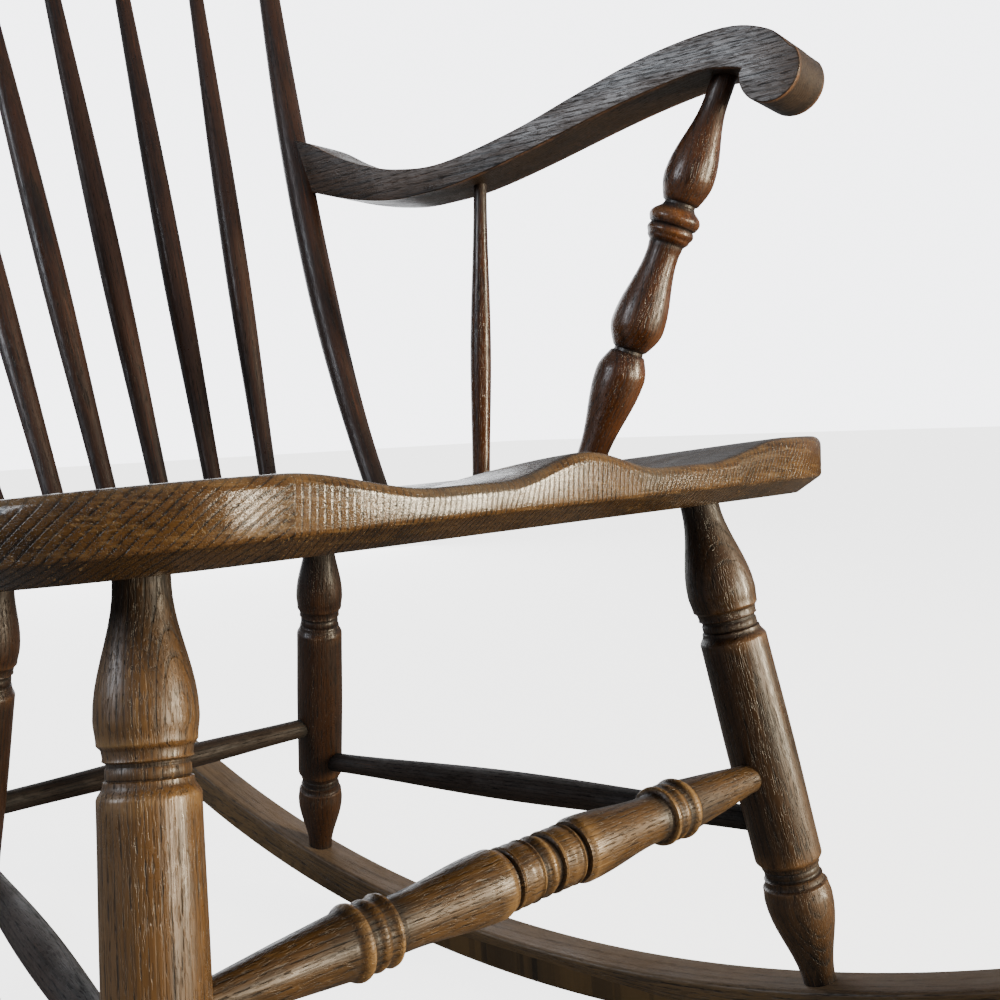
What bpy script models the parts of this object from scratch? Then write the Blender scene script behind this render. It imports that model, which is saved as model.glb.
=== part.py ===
"""Rocking chair: turned legs on two rockers, a tilted saddle seat, a fan of
spindles between two bent posts, and scrolled arms.

Metres, +Z up. The chair faces -Y, and left and right are the sitter's, so left
is +X. The origin is on the floor under the middle of the chair's box, and each
rocker touches the floor at y = ROCKER_LOW_Y, below the chair's centre of mass.
"""
import math

import bmesh
import bpy
from mathutils import Matrix, Vector

# --- clearances and fits ---------------------------------------------------
GAP = 0.0003                 # between pieces that touch
SEAT_SOCKET_DEPTH = 0.018    # sockets in the seat, along the member's axis
LEG_SOCKET_DEPTH = 0.011     # sockets for stretchers, inside the leg's surface
ROCKER_SOCKET_DEPTH = 0.016  # sockets for the feet, below the rocker's top
ARM_SOCKET_DEPTH = 0.012     # sockets under the arms
CREST_SOCKET_DEPTH = 0.020   # sockets in the crest's lower edge

# --- seat ------------------------------------------------------------------
SEAT_WIDTH = 0.549
SEAT_FRONT_Y = -0.3007
SEAT_REAR_Y = 0.1610
SEAT_THICKNESS = 0.0330
SEAT_FRONT_TOP_Z = 0.4090
SEAT_TILT = 0.0900           # drop per metre toward the rear
SEAT_CHAMFER_HEIGHT = 0.0090
SEAT_CHAMFER_RUN = 0.0140
SEAT_RIM_ROUND = 0.0045
HOLLOW_DEPTH = 0.0105        # thigh hollows at the front edge
DISH_DEPTH = 0.0150          # the dish at mid seat

# --- legs ------------------------------------------------------------------
FRONT_FOOT = (SEAT_WIDTH / 2 - 0.0480, -0.2772)   # where the axis meets the rocker's top
FRONT_LEAN = (-0.1173, 0.1838)   # inward and rearward, per metre of rise
FRONT_LEG_DIAMETER = 0.0425
REAR_FOOT = (SEAT_WIDTH / 2 - 0.1163, 0.1825)
REAR_LEAN = (-0.0864, -0.2084)
REAR_LEG_DIAMETER = 0.0392
LEG_NECK_RADIUS = 0.0120
LEG_FOOT_RADIUS = 0.0102

# --- rockers ---------------------------------------------------------------
ROCKER_RADIUS = 1.048
ROCKER_LOW_Y = -0.0234
ROCKER_THICKNESS = 0.0276
ROCKER_WIDTH = 0.0334
ROCKER_FRONT_Y = -0.4100
ROCKER_REAR_Y = 0.4146

# --- stretchers, by distance up the leg from its foot ------------------------
FRONT_STRETCHER_UP = 0.1384
SIDE_STRETCHER_UP_FRONT = 0.1047
SIDE_STRETCHER_UP_REAR = 0.0855
REAR_STRETCHER_UP = 0.1212
STRETCHER_RING_X = 0.1084
STRETCHER_RING_RADIUS = 0.0175
STRETCHER_END_RADIUS = 0.0088
PLAIN_STRETCHER_END_RADIUS = 0.0080
SIDE_STRETCHER_MID_RADIUS = 0.0112
REAR_STRETCHER_MID_RADIUS = 0.0098

# --- back ------------------------------------------------------------------
SPINDLE_COUNT = 5
SPINDLE_POST_GAP_FOOT = 0.0636   # outermost spindle to post, between centres
SPINDLE_POST_GAP_HEAD = 0.0592
SPINDLE_FOOT_Y = 0.1336          # centre spindle, at the seat's top
SPINDLE_FOOT_ARC_RADIUS = 0.300
SPINDLE_FOOT_RADIUS = 0.0072
SPINDLE_MID_RADIUS = 0.0100
SPINDLE_HEAD_RADIUS = 0.0058
POST_FOOT = (SEAT_WIDTH / 2 - 0.1233, 0.0626)
POST_FOOT_RADIUS = 0.0092
POST_MID_RADIUS = 0.0122
POST_HEAD_RADIUS = 0.0084
POST_SPLAY = 0.078               # outward, per metre of rise
POST_FOOT_RAKE = 0.600           # rearward per metre of rise, at the seat
POST_HEAD_RAKE = 0.240           # and near the crest
POST_RAKE_FADE = 0.200           # rise over which the rake eases

# --- crest rail --------------------------------------------------------------
CREST_LOW_Z = 0.915
CREST_HEIGHT = 0.070
CREST_END_HEIGHT = 0.048
CREST_THICKNESS = 0.0220
CREST_CENTRE_Y = 0.3187
CREST_OVERHANG = 0.0268          # beyond the post heads, each side
CREST_FLARE = 0.300              # outward from the arc's centre, per metre up

# --- arms --------------------------------------------------------------------
ARM_REAR = (POST_FOOT[0] + 0.0198, 0.1720)   # inner face, where the arm's length starts
ARM_SPLAY = math.radians(11.92)
ARM_WIDTH = 0.0486
ARM_REAR_LAP = 0.022             # the arm's rear end behind its start
ARM_EDGE_ROUND = 0.0035
SCROLL_AT = (0.4165, 0.6440)     # centre of the scroll: along the arm, height
SCROLL_RADIUS = 0.0205
ARM_POST_SEAT = (SEAT_WIDTH / 2 - 0.0511, -0.1001)
ARM_POST_ALONG = 0.3769          # along the arm
ARM_POST_FOOT_RADIUS = 0.0108
ARM_POST_HEAD_RADIUS = 0.0086
ARM_SPINDLE_SEAT = (SEAT_WIDTH / 2 - 0.0495, 0.0185)
ARM_SPINDLE_ALONG = 0.1700
ARM_SPINDLE_FOOT_RADIUS = 0.0072
ARM_SPINDLE_MID_RADIUS = 0.0085
ARM_SPINDLE_HEAD_RADIUS = 0.0053
ARM_SCREW_Z = 0.6500
ARM_SCREW_LENGTH = 0.040
ARM_SCREW_RADIUS = 0.0021
ARM_SCREW_HEAD_RADIUS = 0.0042
ARM_SCREW_HEAD_HEIGHT = 0.0024
ARM_SCREW_TURN = math.radians(20.0)  # outward from the arm's direction

SIDES = {"left": 1, "right": -1}
ROUND_STEPS = 12                 # sides of a turning; a multiple of 4, as the bores need
THIN_STEPS = 8

for old in list(bpy.data.objects):
    bpy.data.objects.remove(old, do_unlink=True)

chair = bpy.data.collections.new("rocking_chair")
cutters = bpy.data.collections.new("cutters")
bpy.context.scene.collection.children.link(chair)
bpy.context.scene.collection.children.link(cutters)


# --- materials -----------------------------------------------------------------
def material(name, colour, roughness, metallic=0.0):
    made = bpy.data.materials.new(name)
    made.use_nodes = True
    shader = made.node_tree.nodes["Principled BSDF"]
    shader.inputs["Base Color"].default_value = (*colour, 1.0)
    shader.inputs["Roughness"].default_value = roughness
    shader.inputs["Metallic"].default_value = metallic
    return made


OAK_SEAT = material("oak_seat", (0.105, 0.060, 0.030), 0.42)
OAK_TURNED = material("oak_turned", (0.085, 0.043, 0.018), 0.36)
OAK_STRETCHER = material("oak_stretcher", (0.120, 0.062, 0.026), 0.36)
OAK_BACK = material("oak_back", (0.030, 0.015, 0.010), 0.40)
OAK_ARM = material("oak_arm", (0.062, 0.034, 0.020), 0.42)
OAK_ROCKER = material("oak_rocker", (0.080, 0.055, 0.034), 0.55)
SCREW_STEEL = material("screw_steel", (0.20, 0.17, 0.13), 0.45, 0.9)


# --- helpers ---------------------------------------------------------------------
def smooth_step(low, high, value):
    t = min(1.0, max(0.0, (value - low) / (high - low)))
    return t * t * (3.0 - 2.0 * t)


def mix(first, second, share):
    return first + (second - first) * share


def axis_matrix(start, along):
    """Local +Z along the axis, local +Y as near to world +Y as it can be."""
    z = Vector(along).normalized()
    x = Vector((0, 1, 0)).cross(z)
    if x.length < 0.2:
        x = z.cross(Vector((0, 0, 1)))
    x.normalize()
    frame = Matrix((x, z.cross(x), z)).transposed().to_4x4()
    return Matrix.Translation(Vector(start)) @ frame


def add_object(name, data, collection, made_of=None):
    added = bpy.data.objects.new(name, data)
    collection.objects.link(added)
    if made_of is not None:
        data.materials.append(made_of)
    if collection is cutters:
        added.hide_render = True
        added.display_type = "WIRE"
    return added


def turned(name, start, end, profile, made_of, steps=ROUND_STEPS):
    """A turned piece: profile is (distance from start, radius), start to end."""
    along = Vector(end) - Vector(start)
    mesh = bpy.data.meshes.new(name)
    shape = bmesh.new()
    rows = [(0.0, 0.0)] + [(r, h) for h, r in profile] + [(0.0, 0.0)]
    rows[0] = (0.0, profile[0][0])
    rows[-1] = (0.0, profile[-1][0])
    points = [shape.verts.new((r, 0.0, h)) for r, h in reversed(rows)]
    for upper, lower in zip(points, points[1:]):
        shape.edges.new((upper, lower))
    shape.to_mesh(mesh)
    shape.free()
    piece = add_object(name, mesh, chair, made_of)
    piece.matrix_world = axis_matrix(start, along)
    screw = piece.modifiers.new("turning", "SCREW")
    screw.axis = "Z"
    screw.steps = steps
    screw.render_steps = steps
    screw.use_merge_vertices = True
    screw.merge_threshold = 0.00005
    screw.use_smooth_shade = True
    return piece


def outline_of_turning(stretches, points_per_curve):
    """(distance, radius) points from stretches of (distance, radius, how).

    how is "line" for a straight stretch up to the point, "swell" for a half
    wave between two levels, and "bead" for a round bead that ends there.
    """
    line = [(stretches[0][0], stretches[0][1])]
    for h, r, how in stretches[1:]:
        h0, r0 = line[-1]
        count = points_per_curve
        for k in range(1, count + 1):
            t = k / count
            if how == "swell":
                line.append((mix(h0, h, t), mix(r0, r, 0.5 - 0.5 * math.cos(math.pi * t))))
            elif how == "bead":
                rise = math.sin(math.pi * t) * (h - h0) * 0.5
                line.append((mix(h0, h, t), mix(r0, r, t) + rise))
            elif k == count:
                line.append((h, r))
    return line


def bore(target_cuts, start, end, radius, steps=ROUND_STEPS):
    """Adds one straight bore to a cutter's mesh."""
    along = Vector(end) - Vector(start)
    middle = (Vector(start) + Vector(end)) / 2
    bmesh.ops.create_cone(
        target_cuts, cap_ends=True, segments=steps, radius1=radius, radius2=radius,
        depth=along.length, matrix=axis_matrix(middle, along))


def cut(target, shape, name):
    """Takes the cutter's shape, drawn in world space, out of the target."""
    mesh = bpy.data.meshes.new(name)
    bmesh.ops.recalc_face_normals(shape, faces=shape.faces)
    shape.to_mesh(mesh)
    shape.free()
    cutter = add_object(name, mesh, cutters)
    apply_cut(target, cutter)


def apply_cut(target, cutter):
    boolean = target.modifiers.new(cutter.name, "BOOLEAN")
    boolean.operation = "DIFFERENCE"
    boolean.object = cutter


def to_mesh_object(curve_object, made_of, collection):
    """Replaces a curve object by a closed mesh object of the same name."""
    name = curve_object.name
    place = curve_object.matrix_world.copy()
    bpy.context.view_layer.update()
    evaluated = curve_object.evaluated_get(bpy.context.evaluated_depsgraph_get())
    mesh = bpy.data.meshes.new_from_object(evaluated)
    bpy.data.objects.remove(curve_object, do_unlink=True)
    shape = bmesh.new()
    shape.from_mesh(mesh)
    bmesh.ops.remove_doubles(shape, verts=shape.verts, dist=0.00001)
    bmesh.ops.recalc_face_normals(shape, faces=shape.faces)
    shape.to_mesh(mesh)
    shape.free()
    mesh.materials.clear()
    piece = add_object(name, mesh, collection, made_of)
    piece.matrix_world = place
    return piece


def rod(name, points, made_of, collection=chair, extra=0.0):
    """A round rod along (position, radius) points, as a closed mesh."""
    data = bpy.data.curves.new(name, "CURVE")
    data.dimensions = "3D"
    data.bevel_depth = 1.0
    data.bevel_resolution = 2
    data.use_fill_caps = True
    data.twist_mode = "MINIMUM"
    spline = data.splines.new("POLY")
    spline.points.add(len(points) - 1)
    for item, (place, radius) in zip(spline.points, points):
        item.co = (*place, 1.0)
        item.radius = radius + extra
    made = bpy.data.objects.new(name, data)
    collection.objects.link(made)
    return to_mesh_object(made, made_of, collection)


def smooth_line(points, per_span=4):
    """A Catmull-Rom line through 2D points, ends included."""
    padded = [points[0]] + list(points) + [points[-1]]
    line = [Vector(points[0])]
    for k in range(len(points) - 1):
        a, b, c, d = (Vector(p) for p in padded[k:k + 4])
        for step in range(1, per_span + 1):
            t = step / per_span
            line.append(0.5 * ((2 * b) + (c - a) * t + (2 * a - 5 * b + 4 * c - d) * t * t
                               + (3 * b - a - 3 * c + d) * t ** 3))
    return line


def bevelled(piece, width, segments, degrees=50):
    bevel = piece.modifiers.new("edges", "BEVEL")
    bevel.width = width
    bevel.segments = segments
    bevel.limit_method = "ANGLE"
    bevel.angle_limit = math.radians(degrees)
    return piece


# --- shared geometry ---------------------------------------------------------------
def seat_top_plane(y):
    return SEAT_FRONT_TOP_Z - SEAT_TILT * (y - SEAT_FRONT_Y)


def seat_hollow(x, y):
    """Depth of the saddle below the seat's flat top plane."""
    across = abs(x)
    from_front = y - SEAT_FRONT_Y
    back = smooth_step(0.0, 0.18, from_front)
    ridge = mix(smooth_step(0.0, 0.055, across), 1.0, back)
    reach = mix(0.168, 0.205, smooth_step(0.0, 0.16, from_front))
    sides = 1.0 - smooth_step(reach - 0.075, reach, across)
    behind = max(0.0, from_front - 0.20) / 0.165
    rear = 1.0 - smooth_step(0.50, 1.0, math.hypot(behind, 0.75 * across / reach * min(1.0, behind)))
    return mix(HOLLOW_DEPTH, DISH_DEPTH, back) * ridge * sides * rear


def rocker_heading():
    """Unit vector in plan along the left rocker, toward the rear."""
    run = Vector((REAR_FOOT[0] - FRONT_FOOT[0], REAR_FOOT[1] - FRONT_FOOT[1]))
    return run.normalized()


HEADING = rocker_heading()


def rocker_point(y):
    """(x, distance along from the low point) on the left rocker's centre line."""
    x = FRONT_FOOT[0] + (y - FRONT_FOOT[1]) * HEADING.x / HEADING.y
    return x, (y - ROCKER_LOW_Y) / HEADING.y


def rocker_top_z(y):
    reach = rocker_point(y)[1]
    return ROCKER_RADIUS - math.sqrt((ROCKER_RADIUS - ROCKER_THICKNESS) ** 2 - reach ** 2)


def leg_axis(foot, lean):
    start = Vector((foot[0], foot[1], rocker_top_z(foot[1])))
    return start, Vector((lean[0], lean[1], 1.0)).normalized()


FRONT_START, FRONT_AXIS = leg_axis(FRONT_FOOT, FRONT_LEAN)
REAR_START, REAR_AXIS = leg_axis(REAR_FOOT, REAR_LEAN)


def seat_bottom_reach(start, axis):
    """Distance along an axis from start to the seat's underside."""
    drop = seat_top_plane(start.y) - SEAT_THICKNESS - start.z
    return drop / (axis.z + SEAT_TILT * axis.y)


FRONT_REACH = seat_bottom_reach(FRONT_START, FRONT_AXIS)
REAR_REACH = seat_bottom_reach(REAR_START, REAR_AXIS)


def mirrored(place, side):
    return Vector((place[0] * side, place[1], place[2]))


ARM_ALONG = Vector((math.sin(ARM_SPLAY), -math.cos(ARM_SPLAY), 0.0))
ARM_OUT = Vector((math.cos(ARM_SPLAY), math.sin(ARM_SPLAY), 0.0))

ARM_TOP = [(-ARM_REAR_LAP, 0.6850), (0.0085, 0.6732), (0.0365, 0.6580), (0.0700, 0.6440),
           (0.1050, 0.6350), (0.1498, 0.6321), (0.2181, 0.6438), (0.2760, 0.6595),
           (0.3313, 0.6729), (0.3858, 0.6780), (0.4165, 0.6700), (0.4310, 0.6560)]
ARM_UNDER = [(0.3980, 0.6487), (0.3851, 0.6520), (0.3647, 0.6532), (0.3066, 0.6440),
             (0.2172, 0.6234), (0.1665, 0.6138), (0.1308, 0.6112), (0.0926, 0.6118),
             (0.0424, 0.6216), (-ARM_REAR_LAP, 0.6420)]


def arm_place(along, out, z):
    base = Vector((ARM_REAR[0], ARM_REAR[1], 0.0))
    place = base + ARM_ALONG * along + ARM_OUT * out
    return Vector((place.x, place.y, z))


def arm_under_z(along):
    line = smooth_line(ARM_UNDER)
    for a, b in zip(line, line[1:]):
        if min(a.x, b.x) <= along <= max(a.x, b.x):
            return mix(a.y, b.y, (along - a.x) / (b.x - a.x))
    return line[-1].y


def post_centre(z):
    """Centre line of the left back post: a rake that eases with height."""
    rise = z - seat_top_plane(POST_FOOT[1])
    eased = POST_RAKE_FADE * (1.0 - math.exp(-max(rise, 0.0) / POST_RAKE_FADE))
    back = POST_HEAD_RAKE * rise + (POST_FOOT_RAKE - POST_HEAD_RAKE) * eased
    if rise < 0.0:
        back = POST_FOOT_RAKE * rise
    return Vector((POST_FOOT[0] + POST_SPLAY * rise, POST_FOOT[1] + back, z))


POST_HEAD = post_centre(CREST_LOW_Z)
CREST_BOW = CREST_CENTRE_Y - POST_HEAD.y
CREST_ARC_RADIUS = (POST_HEAD.x ** 2 + CREST_BOW ** 2) / (2.0 * CREST_BOW)
CREST_AXIS_Y = CREST_CENTRE_Y - CREST_ARC_RADIUS
CREST_HALF_SPAN = POST_HEAD.x + CREST_OVERHANG


def spindle_ends(index):
    """Seat-top point and crest-edge point of one back spindle."""
    half_count = (SPINDLE_COUNT - 1) / 2
    place = (index - half_count) / half_count
    x = place * (POST_FOOT[0] - SPINDLE_POST_GAP_FOOT)
    y = SPINDLE_FOOT_Y - SPINDLE_FOOT_ARC_RADIUS + math.sqrt(SPINDLE_FOOT_ARC_RADIUS ** 2 - x ** 2)
    head_x = place * (POST_HEAD.x - SPINDLE_POST_GAP_HEAD)
    head_y = CREST_AXIS_Y + math.sqrt(CREST_ARC_RADIUS ** 2 - head_x ** 2)
    return Vector((x, y, seat_top_plane(y))), Vector((head_x, head_y, CREST_LOW_Z))


# --- seat ----------------------------------------------------------------------------
SEAT_OUTLINE = [(0.0, 0.0), (0.62, 0.0), (0.83, 0.035), (0.96, 0.115), (1.0, 0.235), (1.0, 0.40),
                (0.955, 0.585), (0.865, 0.735), (0.70, 0.865), (0.46, 0.965), (0.20, 0.995), (0.0, 1.0)]
SEAT_GRID = 20


def seat_outline_points():
    """Closed outline in plan, from shares of the half width and of the depth."""
    depth = SEAT_REAR_Y - SEAT_FRONT_Y
    right = [(x * SEAT_WIDTH / 2, SEAT_FRONT_Y + y * depth) for x, y in SEAT_OUTLINE]
    left = [(-x, y) for x, y in reversed(right[1:-1])]
    ring = right + left
    line = []
    for k in range(len(ring)):
        a, b, c, d = (Vector(ring[(k + j - 1) % len(ring)]) for j in range(4))
        for step in range(8):
            t = step / 8
            line.append(0.5 * ((2 * b) + (c - a) * t + (2 * a - 5 * b + 4 * c - d) * t * t
                               + (3 * b - a - 3 * c + d) * t ** 3))
    return line


def make_seat():
    """A plank cut to the outline, with a hollowed top and a chamfered underside."""
    outline = seat_outline_points()
    centre = Vector((0.0, (SEAT_FRONT_Y + SEAT_REAR_Y) / 2))
    polar = sorted((math.atan2(p.y - centre.y, p.x - centre.x), (p - centre).length) for p in outline)
    polar = ([(polar[-1][0] - 2 * math.pi, polar[-1][1])] + polar
             + [(polar[0][0] + 2 * math.pi, polar[0][1])])

    def reach(angle):
        for (a0, r0), (a1, r1) in zip(polar, polar[1:]):
            if a0 <= angle <= a1:
                return mix(r0, r1, (angle - a0) / max(a1 - a0, 1e-9))
        return polar[0][1]

    shape = bmesh.new()
    bmesh.ops.create_grid(shape, x_segments=SEAT_GRID, y_segments=SEAT_GRID, size=1.0)
    for vert in shape.verts:
        u, v = vert.co.x, vert.co.y
        share = max(abs(u), abs(v))
        angle = math.atan2(v, u)
        at = centre + Vector((math.cos(angle), math.sin(angle))) * (share * reach(angle))
        vert.co = (at.x, at.y, seat_top_plane(at.y) - seat_hollow(at.x, at.y))
    rim = [edge for edge in shape.edges if edge.is_boundary]
    for drop_share, inset in ((0.0, 0.0), (1.0, SEAT_CHAMFER_RUN)):
        grown = bmesh.ops.extrude_edge_only(shape, edges=rim)["geom"]
        rim = [item for item in grown if isinstance(item, bmesh.types.BMEdge) and item.is_boundary]
        drop = SEAT_THICKNESS if drop_share else SEAT_THICKNESS - SEAT_CHAMFER_HEIGHT
        for vert in {v for edge in rim for v in edge.verts}:
            away = vert.co.xy - centre
            at = centre + away * (1.0 - inset / away.length)
            vert.co = (at.x, at.y, seat_top_plane(at.y) - drop)
    bmesh.ops.contextual_create(shape, geom=rim)
    bmesh.ops.recalc_face_normals(shape, faces=shape.faces)
    mesh = bpy.data.meshes.new("seat")
    shape.to_mesh(mesh)
    shape.free()
    seat = add_object("seat", mesh, chair, OAK_SEAT)
    return bevelled(seat, SEAT_RIM_ROUND, 2, degrees=58)


# --- turnings --------------------------------------------------------------------------
def leg_profile(reach, radius, marks):
    """Foot tenon, lower bulb, long shaft, ring, upper bulb and neck, foot to top.

    marks are the distances of the lower bulb, lower groove, upper groove and
    upper bulb from the foot.
    """
    bulb_low, groove_low, groove_high, bulb_high = marks
    shaft_mid = (groove_low + groove_high) / 2
    return outline_of_turning([
        (-ROCKER_SOCKET_DEPTH, LEG_FOOT_RADIUS, "line"),
        (0.000, LEG_FOOT_RADIUS, "line"),
        (bulb_low, radius * 0.99, "swell"),
        (groove_low - 0.002, radius * 0.79, "swell"),
        (groove_low + 0.002, radius * 0.79, "line"),
        (groove_low + 0.010, radius * 0.95, "line"),
        (shaft_mid, radius * 1.01, "line"),
        (groove_high - 0.013, radius * 0.985, "line"),
        (groove_high - 0.0075, radius * 0.82, "line"),
        (groove_high - 0.0035, radius * 0.86, "line"),
        (groove_high, radius * 0.78, "line"),
        (bulb_high, radius, "swell"),
        (mix(bulb_high, reach, 0.93), LEG_NECK_RADIUS, "swell"),
        (reach + SEAT_SOCKET_DEPTH, LEG_NECK_RADIUS, "line")], 5)


FRONT_MARKS = (0.0562, 0.0736, 0.2364, 0.2568)
REAR_MARKS = (0.0491, 0.0665, 0.2205, 0.2429)


def front_stretcher_profile(half):
    """Half of the turned front stretcher, from its middle out to its end."""
    ring = STRETCHER_RING_X
    r = STRETCHER_RING_RADIUS
    groove = r * 0.79
    return outline_of_turning([
        (0.0, r * 0.91, "line"),
        (0.0042, r * 0.83, "swell"),
        (0.0055, groove, "line"),
        (0.0080, r * 0.91, "line"),
        (0.0150, r * 0.90, "line"),
        (0.0220, r * 0.92, "line"),
        (0.0240, groove, "line"),
        (0.0258, groove, "line"),
        (0.0310, r, "swell"),
        (ring - 0.0150, r * 0.75, "swell"),
        (ring - 0.0085, r * 0.96, "swell"),
        (ring - 0.0060, r * 0.89, "line"),
        (ring, r * 0.94, "line"),
        (ring + 0.0060, r * 0.90, "line"),
        (ring + 0.0085, r, "line"),
        (ring + 0.0150, r * 0.86, "line"),
        (mix(ring, half, 0.50), r * 0.70, "line"),
        (half - LEG_SOCKET_DEPTH - 0.004, STRETCHER_END_RADIUS, "line"),
        (half, STRETCHER_END_RADIUS, "line")], 3)


def both_halves(half_profile):
    other = [(-h, r) for h, r in reversed(half_profile[1:])]
    return other + half_profile


def tapered_profile(length, low, middle, high, where=0.5, before=0.0, after=0.0):
    """A plain rod that swells, with straight ends that go into sockets."""
    return outline_of_turning([
        (-before, low, "line"),
        (0.0, low, "line"),
        (length * where, middle, "swell"),
        (length, high, "swell"),
        (length + after, high, "line")], 4)


def arm_post_profile(length):
    """Two vases that meet at a ring of beads, then an inverted vase below."""
    foot = ARM_POST_FOOT_RADIUS
    head = ARM_POST_HEAD_RADIUS
    return outline_of_turning([
        (-SEAT_SOCKET_DEPTH, foot, "line"),
        (0.008, foot, "line"),
        (length * 0.240, 0.0182, "swell"),
        (length * 0.305, 0.0118, "swell"),
        (length * 0.312, 0.0110, "line"),
        (length * 0.376, 0.0192, "swell"),
        (length * 0.560, 0.0116, "swell"),
        (length * 0.590, 0.0126, "line"),
        (length * 0.605, 0.0163, "line"),
        (length * 0.620, 0.0163, "line"),
        (length * 0.627, 0.0140, "line"),
        (length * 0.640, 0.0178, "swell"),
        (length * 0.668, 0.0166, "swell"),
        (length * 0.683, 0.0114, "line"),
        (length * 0.690, 0.0114, "line"),
        (length * 0.760, 0.0176, "swell"),
        (length * 0.940, head, "swell"),
        (length + ARM_SOCKET_DEPTH, head, "line")], 4)


# --- build: pieces in the order they would be made -----------------------------------
seat = make_seat()
seat_cuts = bmesh.new()

legs = {}
leg_data = {"front": (FRONT_START, FRONT_AXIS, FRONT_REACH, FRONT_LEG_DIAMETER / 2, FRONT_MARKS),
            "rear": (REAR_START, REAR_AXIS, REAR_REACH, REAR_LEG_DIAMETER / 2, REAR_MARKS)}
for end, (start, axis, reach, radius, marks) in leg_data.items():
    for side, sign in SIDES.items():
        foot = mirrored(start, sign)
        along = mirrored(axis, sign)
        legs[end, side] = turned(f"leg_{end}_{side}", foot, foot + along,
                                 leg_profile(reach, radius, marks), OAK_TURNED)
        bore(seat_cuts, foot + along * (reach - 0.030),
             foot + along * (reach + SEAT_SOCKET_DEPTH + GAP), LEG_NECK_RADIUS + GAP)


def make_rocker(side, sign):
    """A bowed runner: two arcs with rounded ends, in a plane that toes in."""
    front = rocker_point(ROCKER_FRONT_Y)[1]
    rear = rocker_point(ROCKER_REAR_Y)[1]
    inner = ROCKER_RADIUS - ROCKER_THICKNESS
    count = 22
    angles = [mix(front, rear, k / count) / ROCKER_RADIUS for k in range(count + 1)]
    lower = [(math.sin(a) * ROCKER_RADIUS, ROCKER_RADIUS - math.cos(a) * ROCKER_RADIUS) for a in angles]
    upper = [(math.sin(a) * inner, ROCKER_RADIUS - math.cos(a) * inner) for a in reversed(angles)]
    ends = []
    for angle, way in ((angles[-1], 1), (angles[0], -1)):
        middle = ROCKER_RADIUS - ROCKER_THICKNESS / 2
        centre = Vector((math.sin(angle) * middle, ROCKER_RADIUS - math.cos(angle) * middle))
        out = Vector((math.cos(angle), math.sin(angle))) * way
        across = Vector((-out.y, out.x))
        turn = [math.pi * k / 6 for k in range(1, 6)]
        ends.append([centre + (out * math.sin(t) - across * math.cos(t)) * ROCKER_THICKNESS / 2
                     for t in turn])
    data = bpy.data.curves.new(f"rocker_{side}", "CURVE")
    data.dimensions = "2D"
    data.fill_mode = "BOTH"
    data.extrude = ROCKER_WIDTH / 2
    points = lower + [tuple(p) for p in ends[0]] + upper + [tuple(p) for p in ends[1]]
    spline = data.splines.new("POLY")
    spline.points.add(len(points) - 1)
    for item, (along, up) in zip(spline.points, points):
        item.co = (along, up, 0.0, 1.0)
    spline.use_cyclic_u = True
    made = bpy.data.objects.new(f"rocker_{side}", data)
    chair.objects.link(made)
    run = Vector((HEADING.x * sign, HEADING.y, 0.0))
    up = Vector((0.0, 0.0, 1.0))
    frame = Matrix((run, up, run.cross(up))).transposed().to_4x4()
    low_x = rocker_point(ROCKER_LOW_Y)[0] * sign
    made.matrix_world = Matrix.Translation((low_x, ROCKER_LOW_Y, 0.0)) @ frame
    return bevelled(to_mesh_object(made, OAK_ROCKER, chair), 0.003, 2)


for side, sign in SIDES.items():
    rocker = make_rocker(side, sign)
    shape = bmesh.new()
    for start, axis in ((FRONT_START, FRONT_AXIS), (REAR_START, REAR_AXIS)):
        foot = mirrored(start, sign)
        along = mirrored(axis, sign)
        bore(shape, foot - along * (ROCKER_SOCKET_DEPTH + GAP), foot + along * 0.020,
             LEG_FOOT_RADIUS + GAP)
    cut(rocker, shape, f"rocker_{side}_sockets")

# stretchers, each with its ends in bored sockets
leg_cuts = {key: bmesh.new() for key in legs}


def leg_point(end, sign, distance):
    start, axis = leg_data[end][0], leg_data[end][1]
    return mirrored(start + axis * distance, sign)


def add_stretcher(name, first, second, profile_for, made_of, end_radius, steps):
    """A stretcher between (end, side, distance up the leg) marks of two legs."""
    ends = [leg_point(end, SIDES[side], up) for end, side, up in (first, second)]
    along = (ends[1] - ends[0]).normalized()
    tips = []
    for (end, side, _), at, inward in ((first, ends[0], along), (second, ends[1], -along)):
        depth = leg_data[end][3] - LEG_SOCKET_DEPTH
        tip = at + inward * depth
        tips.append(tip)
        bore(leg_cuts[end, side], tip - inward * GAP, at + inward * 0.040, end_radius + GAP, steps)
    length = (tips[1] - tips[0]).length
    return turned(name, tips[0], tips[1], profile_for(length), made_of, steps)


def front_profile(length):
    return [(h + length / 2, r) for h, r in both_halves(front_stretcher_profile(length / 2))]


def plain_profile(middle):
    def profile(length):
        straight = LEG_SOCKET_DEPTH
        inner = tapered_profile(length - 2 * straight, PLAIN_STRETCHER_END_RADIUS, middle,
                                PLAIN_STRETCHER_END_RADIUS, 0.5, straight, straight)
        return [(h + straight, r) for h, r in inner]
    return profile


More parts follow.
